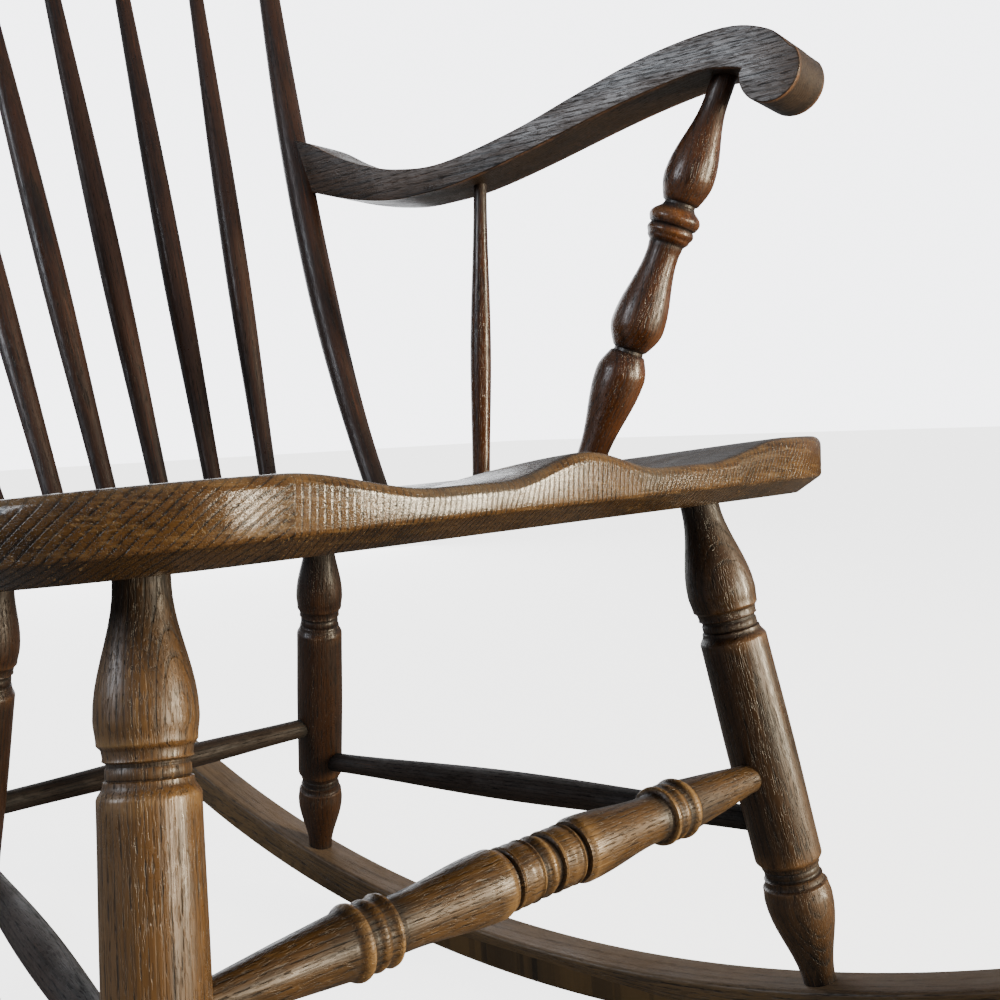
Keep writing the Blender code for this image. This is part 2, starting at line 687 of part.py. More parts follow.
add_stretcher("stretcher_front", ("front", "right", FRONT_STRETCHER_UP),
              ("front", "left", FRONT_STRETCHER_UP), front_profile,
              OAK_STRETCHER, STRETCHER_END_RADIUS, ROUND_STEPS)
add_stretcher("stretcher_rear", ("rear", "right", REAR_STRETCHER_UP), ("rear", "left", REAR_STRETCHER_UP),
              plain_profile(REAR_STRETCHER_MID_RADIUS), OAK_TURNED, PLAIN_STRETCHER_END_RADIUS, THIN_STEPS)
for side in SIDES:
    add_stretcher(f"stretcher_side_{side}", ("front", side, SIDE_STRETCHER_UP_FRONT),
                  ("rear", side, SIDE_STRETCHER_UP_REAR), plain_profile(SIDE_STRETCHER_MID_RADIUS),
                  OAK_TURNED, PLAIN_STRETCHER_END_RADIUS, THIN_STEPS)
for key, shape in leg_cuts.items():
    cut(legs[key], shape, "leg_{}_{}_sockets".format(*key))


# --- back ------------------------------------------------------------------------------
def make_crest():
    """A bowed and flared board with a crowned top edge and rounded ends."""
    count = 20
    half_angle = math.asin(CREST_HALF_SPAN / CREST_ARC_RADIUS)
    shape = bmesh.new()
    low = [Vector((0.0, CREST_ARC_RADIUS + side * CREST_THICKNESS / 2, CREST_LOW_Z)) for side in (-1, 1)]
    high = [p + Vector((0.0, CREST_FLARE * CREST_HEIGHT, CREST_HEIGHT)) for p in reversed(low)]
    face = shape.faces.new([shape.verts.new(p) for p in low + high])
    start = Matrix.Rotation(half_angle, 3, "Z")
    bmesh.ops.rotate(shape, verts=shape.verts, matrix=start, cent=(0, 0, 0))
    bmesh.ops.spin(shape, geom=[face], cent=(0, 0, 0), axis=(0, 0, 1), angle=-2 * half_angle,
                   steps=count, use_duplicate=False)
    for vert in shape.verts:
        turn = abs(math.atan2(vert.co.x, vert.co.y)) / half_angle
        rise = vert.co.z - CREST_LOW_Z
        height = mix(CREST_HEIGHT, CREST_END_HEIGHT, turn ** 2.5)
        scaled = rise * height / CREST_HEIGHT
        radius = vert.co.xy.length + CREST_FLARE * (scaled - rise)
        flat = vert.co.xy.normalized() * radius
        vert.co = (flat.x, flat.y + CREST_AXIS_Y, CREST_LOW_Z + scaled)
    bmesh.ops.recalc_face_normals(shape, faces=shape.faces)
    mesh = bpy.data.meshes.new("crest_rail")
    shape.to_mesh(mesh)
    shape.free()
    return bevelled(add_object("crest_rail", mesh, chair, OAK_BACK), 0.006, 2)


crest = make_crest()
crest_cuts = bmesh.new()

for index in range(SPINDLE_COUNT):
    foot, head = spindle_ends(index)
    along = (head - foot).normalized()
    length = (head - foot).length
    profile = tapered_profile(length, SPINDLE_FOOT_RADIUS, SPINDLE_MID_RADIUS, SPINDLE_HEAD_RADIUS,
                              0.36, SEAT_SOCKET_DEPTH, CREST_SOCKET_DEPTH)
    turned(f"back_spindle_{index + 1}", foot, head, profile, OAK_BACK, THIN_STEPS)
    bore(seat_cuts, foot - along * (SEAT_SOCKET_DEPTH + GAP), foot + along * 0.030,
         SPINDLE_FOOT_RADIUS + GAP, THIN_STEPS)
    bore(crest_cuts, head - along * 0.020, head + along * (CREST_SOCKET_DEPTH + GAP),
         SPINDLE_HEAD_RADIUS + GAP, THIN_STEPS)


def post_points(sign, extra=0.0):
    """Centre line and radius of a back post, from socket to socket."""
    foot_z = seat_top_plane(POST_FOOT[1])
    low = foot_z - SEAT_SOCKET_DEPTH * 0.86 - extra
    high = CREST_LOW_Z + CREST_SOCKET_DEPTH * 0.95 + extra
    stations = [low, foot_z] + [mix(foot_z, CREST_LOW_Z, k / 10) for k in range(1, 11)] + [high]
    rise = CREST_LOW_Z - foot_z
    points = []
    for z in stations:
        share = (z - foot_z) / rise
        if share < 0.35:
            radius = mix(POST_FOOT_RADIUS, POST_MID_RADIUS, smooth_step(0.0, 0.35, share))
        else:
            radius = mix(POST_MID_RADIUS, POST_HEAD_RADIUS, smooth_step(0.50, 1.0, share))
        points.append((mirrored(post_centre(z), sign), radius))
    return points


def make_arm(side, sign):
    """A plank sawn to an S in side view, with a scroll turned down at the front."""
    top = smooth_line(ARM_TOP, 2)
    under = smooth_line(ARM_UNDER, 2)
    centre = Vector(SCROLL_AT)
    first = math.atan2(top[-1].y - centre.y, top[-1].x - centre.x)
    last = math.atan2(under[0].y - centre.y, under[0].x - centre.x) - 2 * math.pi
    turn = [mix(first, last, k / 12) for k in range(1, 12)]
    scroll = [centre + Vector((math.cos(a), math.sin(a))) * SCROLL_RADIUS for a in turn]
    points = top + scroll + under
    data = bpy.data.curves.new(f"arm_{side}", "CURVE")
    data.dimensions = "2D"
    data.fill_mode = "BOTH"
    data.extrude = ARM_WIDTH / 2
    spline = data.splines.new("POLY")
    spline.points.add(len(points) - 1)
    for item, point in zip(spline.points, points):
        item.co = (point.x, point.y, 0.0, 1.0)
    spline.use_cyclic_u = True
    made = bpy.data.objects.new(f"arm_{side}", data)
    chair.objects.link(made)
    run = mirrored(ARM_ALONG, sign)
    up = Vector((0.0, 0.0, 1.0))
    frame = Matrix((run, up, run.cross(up))).transposed().to_4x4()
    made.matrix_world = Matrix.Translation(mirrored(arm_place(0.0, ARM_WIDTH / 2, 0.0), sign)) @ frame
    return bevelled(to_mesh_object(made, OAK_ARM, chair), ARM_EDGE_ROUND, 2)


for side, sign in SIDES.items():
    post = rod(f"back_post_{side}", post_points(sign), OAK_BACK)
    housing = rod(f"back_post_{side}_housing", post_points(sign, GAP), OAK_BACK, cutters, GAP)
    for target in (seat, crest):
        apply_cut(target, housing)

    arm = make_arm(side, sign)
    apply_cut(arm, housing)
    arm_cuts = bmesh.new()

    # turned post under the arm's front
    seat_at = Vector((*ARM_POST_SEAT, seat_top_plane(ARM_POST_SEAT[1])))
    arm_at = arm_place(ARM_POST_ALONG, ARM_WIDTH / 2, arm_under_z(ARM_POST_ALONG))
    foot, head = mirrored(seat_at, sign), mirrored(arm_at, sign)
    along = (head - foot).normalized()
    turned(f"arm_post_{side}", foot, head, arm_post_profile((head - foot).length), OAK_TURNED)
    bore(seat_cuts, foot - along * (SEAT_SOCKET_DEPTH + GAP), foot + along * 0.030,
         ARM_POST_FOOT_RADIUS + GAP)
    bore(arm_cuts, head - along * 0.020, head + along * (ARM_SOCKET_DEPTH + GAP),
         ARM_POST_HEAD_RADIUS + GAP)

    # plain spindle under the arm's middle
    seat_at = Vector((*ARM_SPINDLE_SEAT, seat_top_plane(ARM_SPINDLE_SEAT[1])))
    arm_at = arm_place(ARM_SPINDLE_ALONG, ARM_WIDTH / 2, arm_under_z(ARM_SPINDLE_ALONG))
    foot, head = mirrored(seat_at, sign), mirrored(arm_at, sign)
    along = (head - foot).normalized()
    profile = tapered_profile((head - foot).length, ARM_SPINDLE_FOOT_RADIUS, ARM_SPINDLE_MID_RADIUS,
                              ARM_SPINDLE_HEAD_RADIUS, 0.40, SEAT_SOCKET_DEPTH, ARM_SOCKET_DEPTH)
    turned(f"arm_spindle_{side}", foot, head, profile, OAK_TURNED, THIN_STEPS)
    bore(seat_cuts, foot - along * (SEAT_SOCKET_DEPTH + GAP), foot + along * 0.030,
         ARM_SPINDLE_FOOT_RADIUS + GAP, THIN_STEPS)
    bore(arm_cuts, head - along * 0.020, head + along * (ARM_SOCKET_DEPTH + GAP),
         ARM_SPINDLE_HEAD_RADIUS + GAP, THIN_STEPS)

    # screw through the back post into the arm
    way = Matrix.Rotation(ARM_SCREW_TURN, 3, "Z") @ ARM_ALONG
    way = mirrored(way, sign)
    centre = mirrored(post_centre(ARM_SCREW_Z), sign)
    seat_of_head = centre - way * (POST_MID_RADIUS - ARM_SCREW_HEAD_HEIGHT - 0.0012)
    screw_profile = [(-ARM_SCREW_HEAD_HEIGHT, ARM_SCREW_HEAD_RADIUS), (0.0, ARM_SCREW_HEAD_RADIUS),
                     (0.0, ARM_SCREW_RADIUS), (ARM_SCREW_LENGTH, ARM_SCREW_RADIUS)]
    turned(f"arm_screw_{side}", seat_of_head, seat_of_head + way, screw_profile, SCREW_STEEL, THIN_STEPS)
    bore(arm_cuts, seat_of_head + way * (GAP + 0.001), seat_of_head + way * (ARM_SCREW_LENGTH + GAP),
         ARM_SCREW_RADIUS + GAP, THIN_STEPS)
    for label, near, far, radius in (("head", -0.020, GAP, ARM_SCREW_HEAD_RADIUS),
                                     ("shank", -0.001, 0.030, ARM_SCREW_RADIUS)):
        for target, piece in ((post, "back_post"), (arm, "arm")):
            if target is arm and label == "shank":
                continue
            hole = bmesh.new()
            bore(hole, seat_of_head + way * near, seat_of_head + way * far, radius + GAP, THIN_STEPS)
            cut(target, hole, f"{piece}_{side}_{label}_hole")
    cut(arm, arm_cuts, f"arm_{side}_sockets")

cut(crest, crest_cuts, "crest_sockets")
cut(seat, seat_cuts, "seat_sockets")
bpy.context.view_layer.update()
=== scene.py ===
"""The finished rocking chair: stained oak under old varnish, dressed on its frame.

Every member is turned, sawn or bent again in fine detail where the frame has it.
A member's own grain runs along local Z on the bench, and is kept as an attribute
when the member is put in its place.
"""
import math

import bpy
import numpy as np
from mathutils import Matrix, Vector


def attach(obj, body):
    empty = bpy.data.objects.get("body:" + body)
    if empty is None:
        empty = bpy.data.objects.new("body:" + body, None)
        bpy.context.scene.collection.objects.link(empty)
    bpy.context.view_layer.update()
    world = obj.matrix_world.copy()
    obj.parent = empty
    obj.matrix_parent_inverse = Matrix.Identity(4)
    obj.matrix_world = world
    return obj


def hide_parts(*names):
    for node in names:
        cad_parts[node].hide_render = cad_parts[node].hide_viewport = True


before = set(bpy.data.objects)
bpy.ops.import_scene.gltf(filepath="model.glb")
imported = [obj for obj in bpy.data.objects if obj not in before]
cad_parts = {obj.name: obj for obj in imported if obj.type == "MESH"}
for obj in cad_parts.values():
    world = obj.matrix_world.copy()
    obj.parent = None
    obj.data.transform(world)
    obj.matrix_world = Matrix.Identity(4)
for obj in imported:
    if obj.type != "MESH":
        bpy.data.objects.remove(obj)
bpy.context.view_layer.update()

SIDES = {"left": 1, "right": -1}
UP = Vector((0, 0, 1))


# --- the bench: small helpers ----------------------------------------------------
def clear_bench():
    """Nothing selected, object mode."""
    if bpy.context.object is not None and bpy.context.object.mode != "OBJECT":
        bpy.ops.object.mode_set(mode="OBJECT")
    bpy.ops.object.select_all(action="DESELECT")


def only(piece):
    clear_bench()
    piece.select_set(True)
    bpy.context.view_layer.objects.active = piece


def open_all():
    """Edit mode, with all of the piece selected."""
    bpy.ops.object.mode_set(mode="EDIT")
    bpy.ops.mesh.select_all(action="SELECT")


def close_up():
    bpy.ops.object.mode_set(mode="OBJECT")


def settle(piece):
    """Puts the piece's place into its mesh, so that its object sits at the origin."""
    only(piece)
    bpy.ops.object.transform_apply(location=True, rotation=True, scale=True)


def apply_all(piece):
    only(piece)
    for modifier in list(piece.modifiers):
        bpy.ops.object.modifier_apply(modifier=modifier.name)


def smooth(piece, degrees=40):
    only(piece)
    bpy.ops.object.shade_smooth_by_angle(angle=math.radians(degrees))


def copy_of(piece, name):
    only(piece)
    bpy.ops.object.duplicate(linked=False)
    made = bpy.context.object
    made.name = name
    made.data.name = name
    return made


def mirror_of(piece, name):
    """A copy on the chair's other side."""
    made = copy_of(piece, name)
    made.scale = (-1, 1, 1)
    settle(made)
    face_outward(made)
    return made


def face_outward(piece):
    only(piece)
    open_all()
    bpy.ops.mesh.remove_doubles(threshold=0.000005)
    bpy.ops.mesh.normals_make_consistent(inside=False)
    close_up()


def points_of(piece):
    flat = np.empty(len(piece.data.vertices) * 3)
    piece.data.vertices.foreach_get("co", flat)
    return flat.reshape(-1, 3)


def write_points(piece, places):
    piece.data.vertices.foreach_set("co", np.asarray(places, dtype=float).ravel())
    piece.data.update()


def keep_mask(piece, name, values):
    """A value between 0 and 1 on every point, for the finish to read."""
    mesh = piece.data
    mask = mesh.attributes.get(name) or mesh.attributes.new(name, "FLOAT", "POINT")
    mask.data.foreach_set("value", np.clip(values, 0.0, 1.0).astype(np.float32))


def keep_grain(piece, places):
    mesh = piece.data
    grain = mesh.attributes.get("grain") or mesh.attributes.new("grain", "FLOAT_VECTOR", "POINT")
    grain.data.foreach_set("vector", np.asarray(places, dtype=np.float32).ravel())


def shift_grain(piece, number):
    """Gives a copy another stretch of the tree, so that no two members match."""
    grain = piece.data.attributes["grain"]
    flat = np.empty(len(grain.data) * 3, dtype=np.float32)
    grain.data.foreach_get("vector", flat)
    places = flat.reshape(-1, 3)
    turn = 2.4 * number
    x = places[:, 0] * math.cos(turn) - places[:, 1] * math.sin(turn)
    y = places[:, 0] * math.sin(turn) + places[:, 1] * math.cos(turn)
    away = 0.030 + 0.011 * (number * 0.618 % 1.0)
    moved = np.stack([x + away, y + 0.4 * away, places[:, 2] + 1.37 * number], axis=1)
    grain.data.foreach_set("vector", moved.astype(np.float32).ravel())


def finish_piece(piece, made_of, slot, *nodes):
    piece.data.materials.clear()
    piece.data.materials.append(made_of)
    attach(piece, "root")
    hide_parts(*nodes)


def smooth_step(low, high, value):
    t = np.clip((value - low) / (high - low), 0.0, 1.0)
    return t * t * (3.0 - 2.0 * t)


def mix(first, second, share):
    return first + (second - first) * share


# --- turned members --------------------------------------------------------------
LEG_FOOT_TENON = 0.016
SEAT_TENON = 0.018
STRETCHER_TENON = 0.011
SPINDLE_HEAD_TENON = 0.020
ARM_TENON = 0.012


def axis_ends(node):
    """Centres of a turned node's two end faces, the lower (or the sitter's right) first."""
    flat = np.empty(len(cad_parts[node].data.vertices) * 3)
    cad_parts[node].data.vertices.foreach_get("co", flat)
    places = np.unique(np.round(flat.reshape(-1, 3), 6), axis=0)
    middle = places.mean(axis=0)
    along = np.linalg.svd(places - middle, full_matrices=False)[2][0]
    for _ in range(3):
        reach = (places - middle) @ along
        ends = [places[reach < reach.min() + 0.0006], places[reach > reach.max() - 0.0006]]
        caps = [(cap.min(axis=0) + cap.max(axis=0)) / 2 if len(cap) < 4 else cap.mean(axis=0)
                for cap in ends]
        along = (caps[1] - caps[0]) / np.linalg.norm(caps[1] - caps[0])
    caps.sort(key=lambda cap: cap[2] + 2.0 * cap[0] * (abs(along[2]) < 0.3))
    return Vector(caps[0]), Vector(caps[1])


def outline(stretches, points_per_curve=9):
    """(distance, radius) points along a turning, from stretches of (distance, radius, how).

    "swell" eases at both ends, "rise" only at its far end and "fall" only at its near end.
    """
    line = [stretches[0][:2]]
    for h, r, how in stretches[1:]:
        h0, r0 = line[-1]
        steps = 1 if how == "line" else points_per_curve
        for k in range(1, steps + 1):
            t = k / steps
            if how == "swell":
                line.append((mix(h0, h, t), mix(r0, r, 0.5 - 0.5 * math.cos(math.pi * t))))
            elif how == "rise":
                line.append((mix(h0, h, t), mix(r0, r, math.sin(0.5 * math.pi * t))))
            elif how == "fall":
                line.append((mix(h0, h, t), mix(r0, r, 1.0 - math.cos(0.5 * math.pi * t))))
            else:
                line.append((h, r))
    return line


def turn_on_lathe(name, line, sides=48):
    """A disc drawn out ring by ring along Z, then marked where it is handled, dirty or painted in shade."""
    clear_bench()
    first, radius = line[0]
    bpy.ops.mesh.primitive_circle_add(vertices=sides, radius=radius, fill_type="NGON",
                                      location=(0, 0, first))
    piece = bpy.context.object
    piece.name = name
    open_all()
    for (h, r), (next_h, next_r) in zip(line, line[1:]):
        bpy.ops.mesh.extrude_region_move(TRANSFORM_OT_translate={"value": (0, 0, next_h - h)})
        bpy.ops.transform.resize(value=(next_r / r, next_r / r, 1), center_override=(0, 0, next_h))
    close_up()
    settle(piece)
    face_outward(piece)
    smooth(piece, 50)
    mark_turning(piece, line)
    return piece


def mark_turning(piece, line):
    """Ridges are rubbed; grooves are darkened, partly as dirty wax and partly as painted shade; both come
    from the outline itself.
    """
    places = points_of(piece)
    heights = np.array([h for h, _ in line]) + np.arange(len(line)) * 1e-7
    radii = np.array([r for _, r in line])
    around, deep_crease = np.linspace(-0.006, 0.006, 13), 0.0011
    nearby = np.mean([np.interp(places[:, 2] + d, heights, radii) for d in around], axis=0)
    crease = (np.interp(places[:, 2], heights, radii) - nearby) / deep_crease
    keep_mask(piece, "rubbed", crease)
    # dirt with painted shade: the grooves get the dark mask
    keep_mask(piece, "dirt_and_shade", -crease * 1.25)
    keep_grain(piece, places)


def stand(piece, place, x, y, z):
    """Puts a piece from the bench at its place in the chair, turned to the three directions."""
    piece.matrix_world = Matrix.Translation(place) @ Matrix((x, y, z)).transposed().to_4x4()
    settle(piece)


def place_between(piece, low, high):
    """Stands a turned piece at low, pointing at high."""
    along = (high - low).normalized()
    x = Vector((0, 1, 0)).cross(along)
    if x.length < 0.2:
        x = along.cross(UP)
    x.normalize()
    stand(piece, low, x, along.cross(x), along)


def soil_ends_and_paint_shade(piece, ends, painted_shade_below=()):
    """Dirt where a member goes into its sockets, and a long fade of painted shade below a head that sits
    under the seat or an arm.

    Both are distances from the member's foot.
    """
    height = points_of(piece)[:, 2]
    mask = piece.data.attributes["dirt_and_shade"]
    soil = np.empty(len(mask.data), dtype=np.float32)
    mask.data.foreach_get("value", soil)
    for end in ends:
        soil = np.maximum(soil, 1.0 - smooth_step(0.0, 0.007, np.abs(height - end)))
    # painted shade: the dark fade below the head stands for the shadow of the seat or arm
    for end in painted_shade_below:
        soil = np.maximum(soil, 0.85 * (1.0 - smooth_step(0.004, 0.052, np.abs(height - end))))
    keep_mask(piece, "dirt_and_shade", soil)


def leg_outline(length, radius, marks):
    """Tenon, lower bulb, long shaft between grooves, upper bulb and neck."""
    bulb_low, groove_low, groove_high, bulb_high = marks
    base, neck, foot = LEG_FOOT_TENON, 0.0120, 0.0102
    reach = length - base - SEAT_TENON
    middle = (groove_low + groove_high) / 2
    # (share of the way from bulb to groove, share of the radius, how), bulb outward
    neck_cuts = [(0.48, 0.955, "swell"), (0.62, 0.865, "swell"), (0.76, 0.845, "line"),
                 (0.81, 0.862, "line"), (0.86, 0.785, "line"), (0.93, 0.775, "swell"),
                 (0.97, 0.808, "line"), (1.14, 0.812, "line"), (1.17, 0.790, "line"),
                 (1.21, 0.850, "line"), (1.26, 0.855, "line"), (1.56, 0.985, "swell")]
    upper = [(bulb_high - t * (bulb_high - groove_high), radius * r) for t, r, _ in neck_cuts]
    lower = [(bulb_low + t * (groove_low - bulb_low), radius * r, how) for t, r, how in neck_cuts]
    hows = [how for _, _, how in neck_cuts]
    climbing = [(*row, how) for row, how in zip(reversed(upper), ["swell"] + hows[:0:-1])]
    rows = ([(-base, foot, "line"), (0.000, foot, "line"), (bulb_low, radius * 0.995, "swell")] + lower
            + [(middle, radius * 1.01, "swell")] + climbing
            + [(bulb_high, radius, "swell"), (mix(bulb_high, reach, 0.93), neck, "swell"),
               (length - base, neck, "line")])
    return [(h + base, r) for h, r in outline(rows)]


# end: (radius, heights of the lower bulb, lower groove, upper groove and upper bulb)
LEGS = {"front": (0.02125, (0.0562, 0.0736, 0.2364, 0.2568)),
        "rear": (0.0196, (0.0491, 0.0665, 0.2205, 0.2429))}


def make_legs(finishes):
    for number, (end, (radius, marks)) in enumerate(LEGS.items()):
        low, high = axis_ends(f"leg_{end}_left")
        length = (high - low).length
        leg = turn_on_lathe(f"turned_leg_{end}_left", leg_outline(length, radius, marks), 64)
        soil_ends_and_paint_shade(leg, (LEG_FOOT_TENON, length - SEAT_TENON), painted_shade_below=(length - SEAT_TENON,))
        other = copy_of(leg, f"turned_leg_{end}_right")
        for piece, side in ((leg, "left"), (other, "right")):
            shift_grain(piece, number * 2 + (side == "right") + 1)
            place_between(piece, *axis_ends(f"leg_{end}_{side}"))
            finish_piece(piece, finishes[end, side], "oak_legs", f"leg_{end}_{side}")


def front_stretcher_outline(length):
    """A vase outward from a cluster of beads, and a fat ring, on each half."""
    half = length / 2
    ring, r = 0.1084, 0.0175
    rows = [
        (0.0, r * 0.91, "line"), (0.0040, r * 0.83, "swell"), (0.0052, r * 0.78, "line"),
        (0.0064, r * 0.785, "line"), (0.0072, r * 0.90, "line"), (0.0084, r * 0.925, "swell"),
        (0.0092, r * 0.88, "line"), (0.0150, r * 0.915, "swell"), (0.0208, r * 0.88, "swell"),
        (0.0216, r * 0.925, "line"), (0.0228, r * 0.90, "swell"), (0.0238, r * 0.79, "line"),
        (0.0256, r * 0.785, "line"), (0.0264, r * 0.93, "line"), (0.0310, r * 1.0, "swell"),
        (ring - 0.0150, r * 0.745, "swell"), (ring - 0.0112, r * 0.78, "swell"),
        (ring - 0.0092, r * 0.955, "swell"), (ring - 0.0078, r * 0.965, "swell"),
        (ring - 0.0066, r * 0.90, "line"), (ring - 0.0040, r * 0.88, "line"),
        (ring - 0.0004, r * 0.94, "swell"), (ring + 0.0036, r * 0.88, "swell"),
        (ring + 0.0062, r * 0.90, "line"), (ring + 0.0074, r * 0.985, "line"),
        (ring + 0.0088, r * 1.0, "swell"), (ring + 0.0150, r * 0.86, "swell"),
        (mix(ring, half, 0.50), r * 0.70, "line"), (half - 0.015, 0.0090, "line"),
        (half, 0.0088, "line")]
    one = outline(rows, 8)
    return [(half - h, r) for h, r in reversed(one[1:])] + [(half + h, r) for h, r in one]


def plain_outline(length, low, middle, high, where, before, after):
    """A slim member that swells once, at a share of the way between its tenons."""
    rows = [(0.0, low, "line"), (before, low, "line"),
            (mix(before, length - after, where), middle, "swell"),
            (length - after, high, "swell"), (length, high, "line")]
    return outline(rows, 16)


def make_stretchers(turned_finish, plain_finish):
    low, high = axis_ends("stretcher_front")
    length = (high - low).length
    front = turn_on_lathe("turned_stretcher_front", front_stretcher_outline(length), 56)
    soil_ends_and_paint_shade(front, (STRETCHER_TENON, length - STRETCHER_TENON))
    shift_grain(front, 7)
    place_between(front, low, high)
    finish_piece(front, turned_finish, "oak_front_stretcher", "stretcher_front")
    plain = (("stretcher_rear", 0.0098), ("stretcher_side_left", 0.0112), ("stretcher_side_right", 0.0112))
    for number, (node, middle) in enumerate(plain):
        low, high = axis_ends(node)
        length = (high - low).length
        line = plain_outline(length, 0.0080, middle, 0.0080, 0.5, STRETCHER_TENON, STRETCHER_TENON)
        piece = turn_on_lathe(f"turned_{node}", line, 40)
        soil_ends_and_paint_shade(piece, (STRETCHER_TENON, length - STRETCHER_TENON))
        shift_grain(piece, 8 + number)
        place_between(piece, low, high)
        finish_piece(piece, plain_finish, "oak_plain_stretchers", node)


def make_back_spindles(made_of):
    low, high = axis_ends("back_spindle_3")
    bench_length = (high - low).length
    line = plain_outline(bench_length, 0.0072, 0.0100, 0.0058, 0.36, SEAT_TENON, SPINDLE_HEAD_TENON)
    bench = turn_on_lathe("spindle_on_bench", line, 40)
    soil_ends_and_paint_shade(bench, (SEAT_TENON, bench_length - SPINDLE_HEAD_TENON))
    for index in range(1, 6):
        node = f"back_spindle_{index}"
        low, high = axis_ends(node)
        piece = copy_of(bench, f"turned_{node}")
        piece.scale = (1, 1, (high - low).length / bench_length)
        settle(piece)
        shift_grain(piece, 12 + index)
        place_between(piece, low, high)
        finish_piece(piece, made_of, "oak_back", node)
    bpy.data.objects.remove(bench, do_unlink=True)


def arm_post_outline(length):
    """Two vases that meet at a ring of beads, then an inverted vase below."""
    inner = length - SEAT_TENON - ARM_TENON
    rows = [
        (-SEAT_TENON, 0.0108, "line"), (0.008, 0.0108, "line"),
        (inner * 0.240, 0.0182, "swell"), (inner * 0.300, 0.0124, "fall"),
        (inner * 0.303, 0.0108, "line"), (inner * 0.310, 0.0106, "line"),
        (inner * 0.314, 0.0122, "line"),
        (inner * 0.376, 0.0192, "rise"), (inner * 0.560, 0.0116, "swell"),
        (inner * 0.584, 0.0122, "swell"), (inner * 0.600, 0.0150, "swell"),
        (inner * 0.615, 0.0167, "swell"), (inner * 0.6255, 0.0158, "fall"),
        (inner * 0.6285, 0.0150, "line"), (inner * 0.634, 0.0168, "rise"),
        (inner * 0.648, 0.0182, "rise"), (inner * 0.663, 0.0162, "fall"),
        (inner * 0.675, 0.0120, "line"), (inner * 0.682, 0.0110, "swell"),
        (inner * 0.687, 0.0110, "line"), (inner * 0.690, 0.0126, "line"),
        (inner * 0.7525, 0.0177, "rise"), (inner * 0.940, 0.0086, "swell"),
        (inner + ARM_TENON, 0.0086, "line")]
    return [(h + SEAT_TENON, r) for h, r in outline(rows)]


def make_arm_turnings(made_of):
    for number, (kind, sides) in enumerate((("arm_post", 56), ("arm_spindle", 40))):
        low, high = axis_ends(f"{kind}_left")
        length = (high - low).length
        if kind == "arm_post":
            line = arm_post_outline(length)
        else:
            line = plain_outline(length, 0.0072, 0.0085, 0.0053, 0.40, SEAT_TENON, ARM_TENON)
        piece = turn_on_lathe(f"turned_{kind}_left", line, sides)
        soil_ends_and_paint_shade(piece, (SEAT_TENON, length - ARM_TENON), painted_shade_below=(length - ARM_TENON,))
        other = copy_of(piece, f"turned_{kind}_right")
        for made, side in ((piece, "left"), (other, "right")):
            shift_grain(made, 20 + 2 * number + (side == "right"))
            place_between(made, *axis_ends(f"{kind}_{side}"))
            finish_piece(made, made_of, "oak_arm_turnings", f"{kind}_{side}")


# --- sawn and bent members ---------------------------------------------------------
def draw_edge(name, places):
    """A closed line of points, drawn one after another from the corner of a small plane."""
    clear_bench()
    bpy.ops.mesh.primitive_plane_add(size=0.001, location=(0, 0, 0))
    piece = bpy.context.object
    piece.name = name
    open_all()
    bpy.ops.mesh.merge(type="CENTER")
    bpy.ops.transform.translate(value=places[0])
    for here, there in zip(places, places[1:]):
        step = tuple(b - a for a, b in zip(here, there))
        bpy.ops.mesh.extrude_region_move(TRANSFORM_OT_translate={"value": step})
    bpy.ops.mesh.select_all(action="SELECT")
    bpy.ops.mesh.edge_face_add()
    return piece


def smooth_line(points, per_span, closed=False):
    """A Catmull-Rom line through 2D points."""
    count = len(points)
    line = [] if closed else [Vector(points[0])]
    for k in range(count if closed else count - 1):
        if closed:
            a, b, c, d = (Vector(points[(k + j - 1) % count]) for j in range(4))
        else:
            a, b, c, d = (Vector(points[min(max(k + j - 1, 0), count - 1)]) for j in range(4))
        for step in range(per_span):
            t = (step + (0 if closed else 1)) / per_span
            line.append(0.5 * ((2 * b) + (c - a) * t + (2 * a - 5 * b + 4 * c - d) * t * t
                               + (3 * b - a - 3 * c + d) * t ** 3))
    return line


def round_edges(piece, width, segments, degrees):
    """Rounds the edges whose faces meet at more than the given degrees."""
    bevel = piece.modifiers.new("rounded edges", "BEVEL")
    bevel.width = width
    bevel.segments = segments
    bevel.limit_method = "ANGLE"
    bevel.angle_limit = math.radians(degrees)
    apply_all(piece)


SEAT_FRONT_Y, SEAT_REAR_Y, SEAT_HALF_WIDTH = -0.3007, 0.1610, 0.2745
SEAT_TOP_Z, SEAT_TILT = 0.4090, 0.0900
SEAT_SIDE_HEIGHT, CHAMFER_IN, CHAMFER_DOWN = 0.024, 0.014, 0.009
SEAT_MIDDLE_Z, SEAT_REACH_Z = 0.39, 0.05
SEAT_OUTLINE = [(0.0, 0.0), (0.62, 0.0), (0.83, 0.035), (0.96, 0.115), (1.0, 0.235), (1.0, 0.40),
                (0.955, 0.585), (0.865, 0.735), (0.70, 0.865), (0.46, 0.965), (0.20, 0.995), (0.0, 1.0)]
SEAT_MEMBERS = ([f"arm_post_{side}" for side in SIDES] + [f"arm_spindle_{side}" for side in SIDES]
                + [f"back_spindle_{k}" for k in range(1, 6)])


def seat_hollow(x, y):
    """Depth of the saddle below the seat's flat top."""
    across = np.abs(x)
    from_front = y - SEAT_FRONT_Y
    back = smooth_step(0.0, 0.18, from_front)
    ridge = mix(smooth_step(0.0, 0.055, across), 1.0, back)
    reach = mix(0.168, 0.205, smooth_step(0.0, 0.16, from_front))
    sides = 1.0 - smooth_step(reach - 0.075, reach, across)
    behind = np.maximum(0.0, from_front - 0.20) / 0.165
    to_rear = np.hypot(behind, 0.75 * across / reach * np.minimum(1.0, behind))
    rear = 1.0 - smooth_step(0.50, 1.0, to_rear)
    return mix(0.0105, 0.0150, back) * ridge * sides * rear


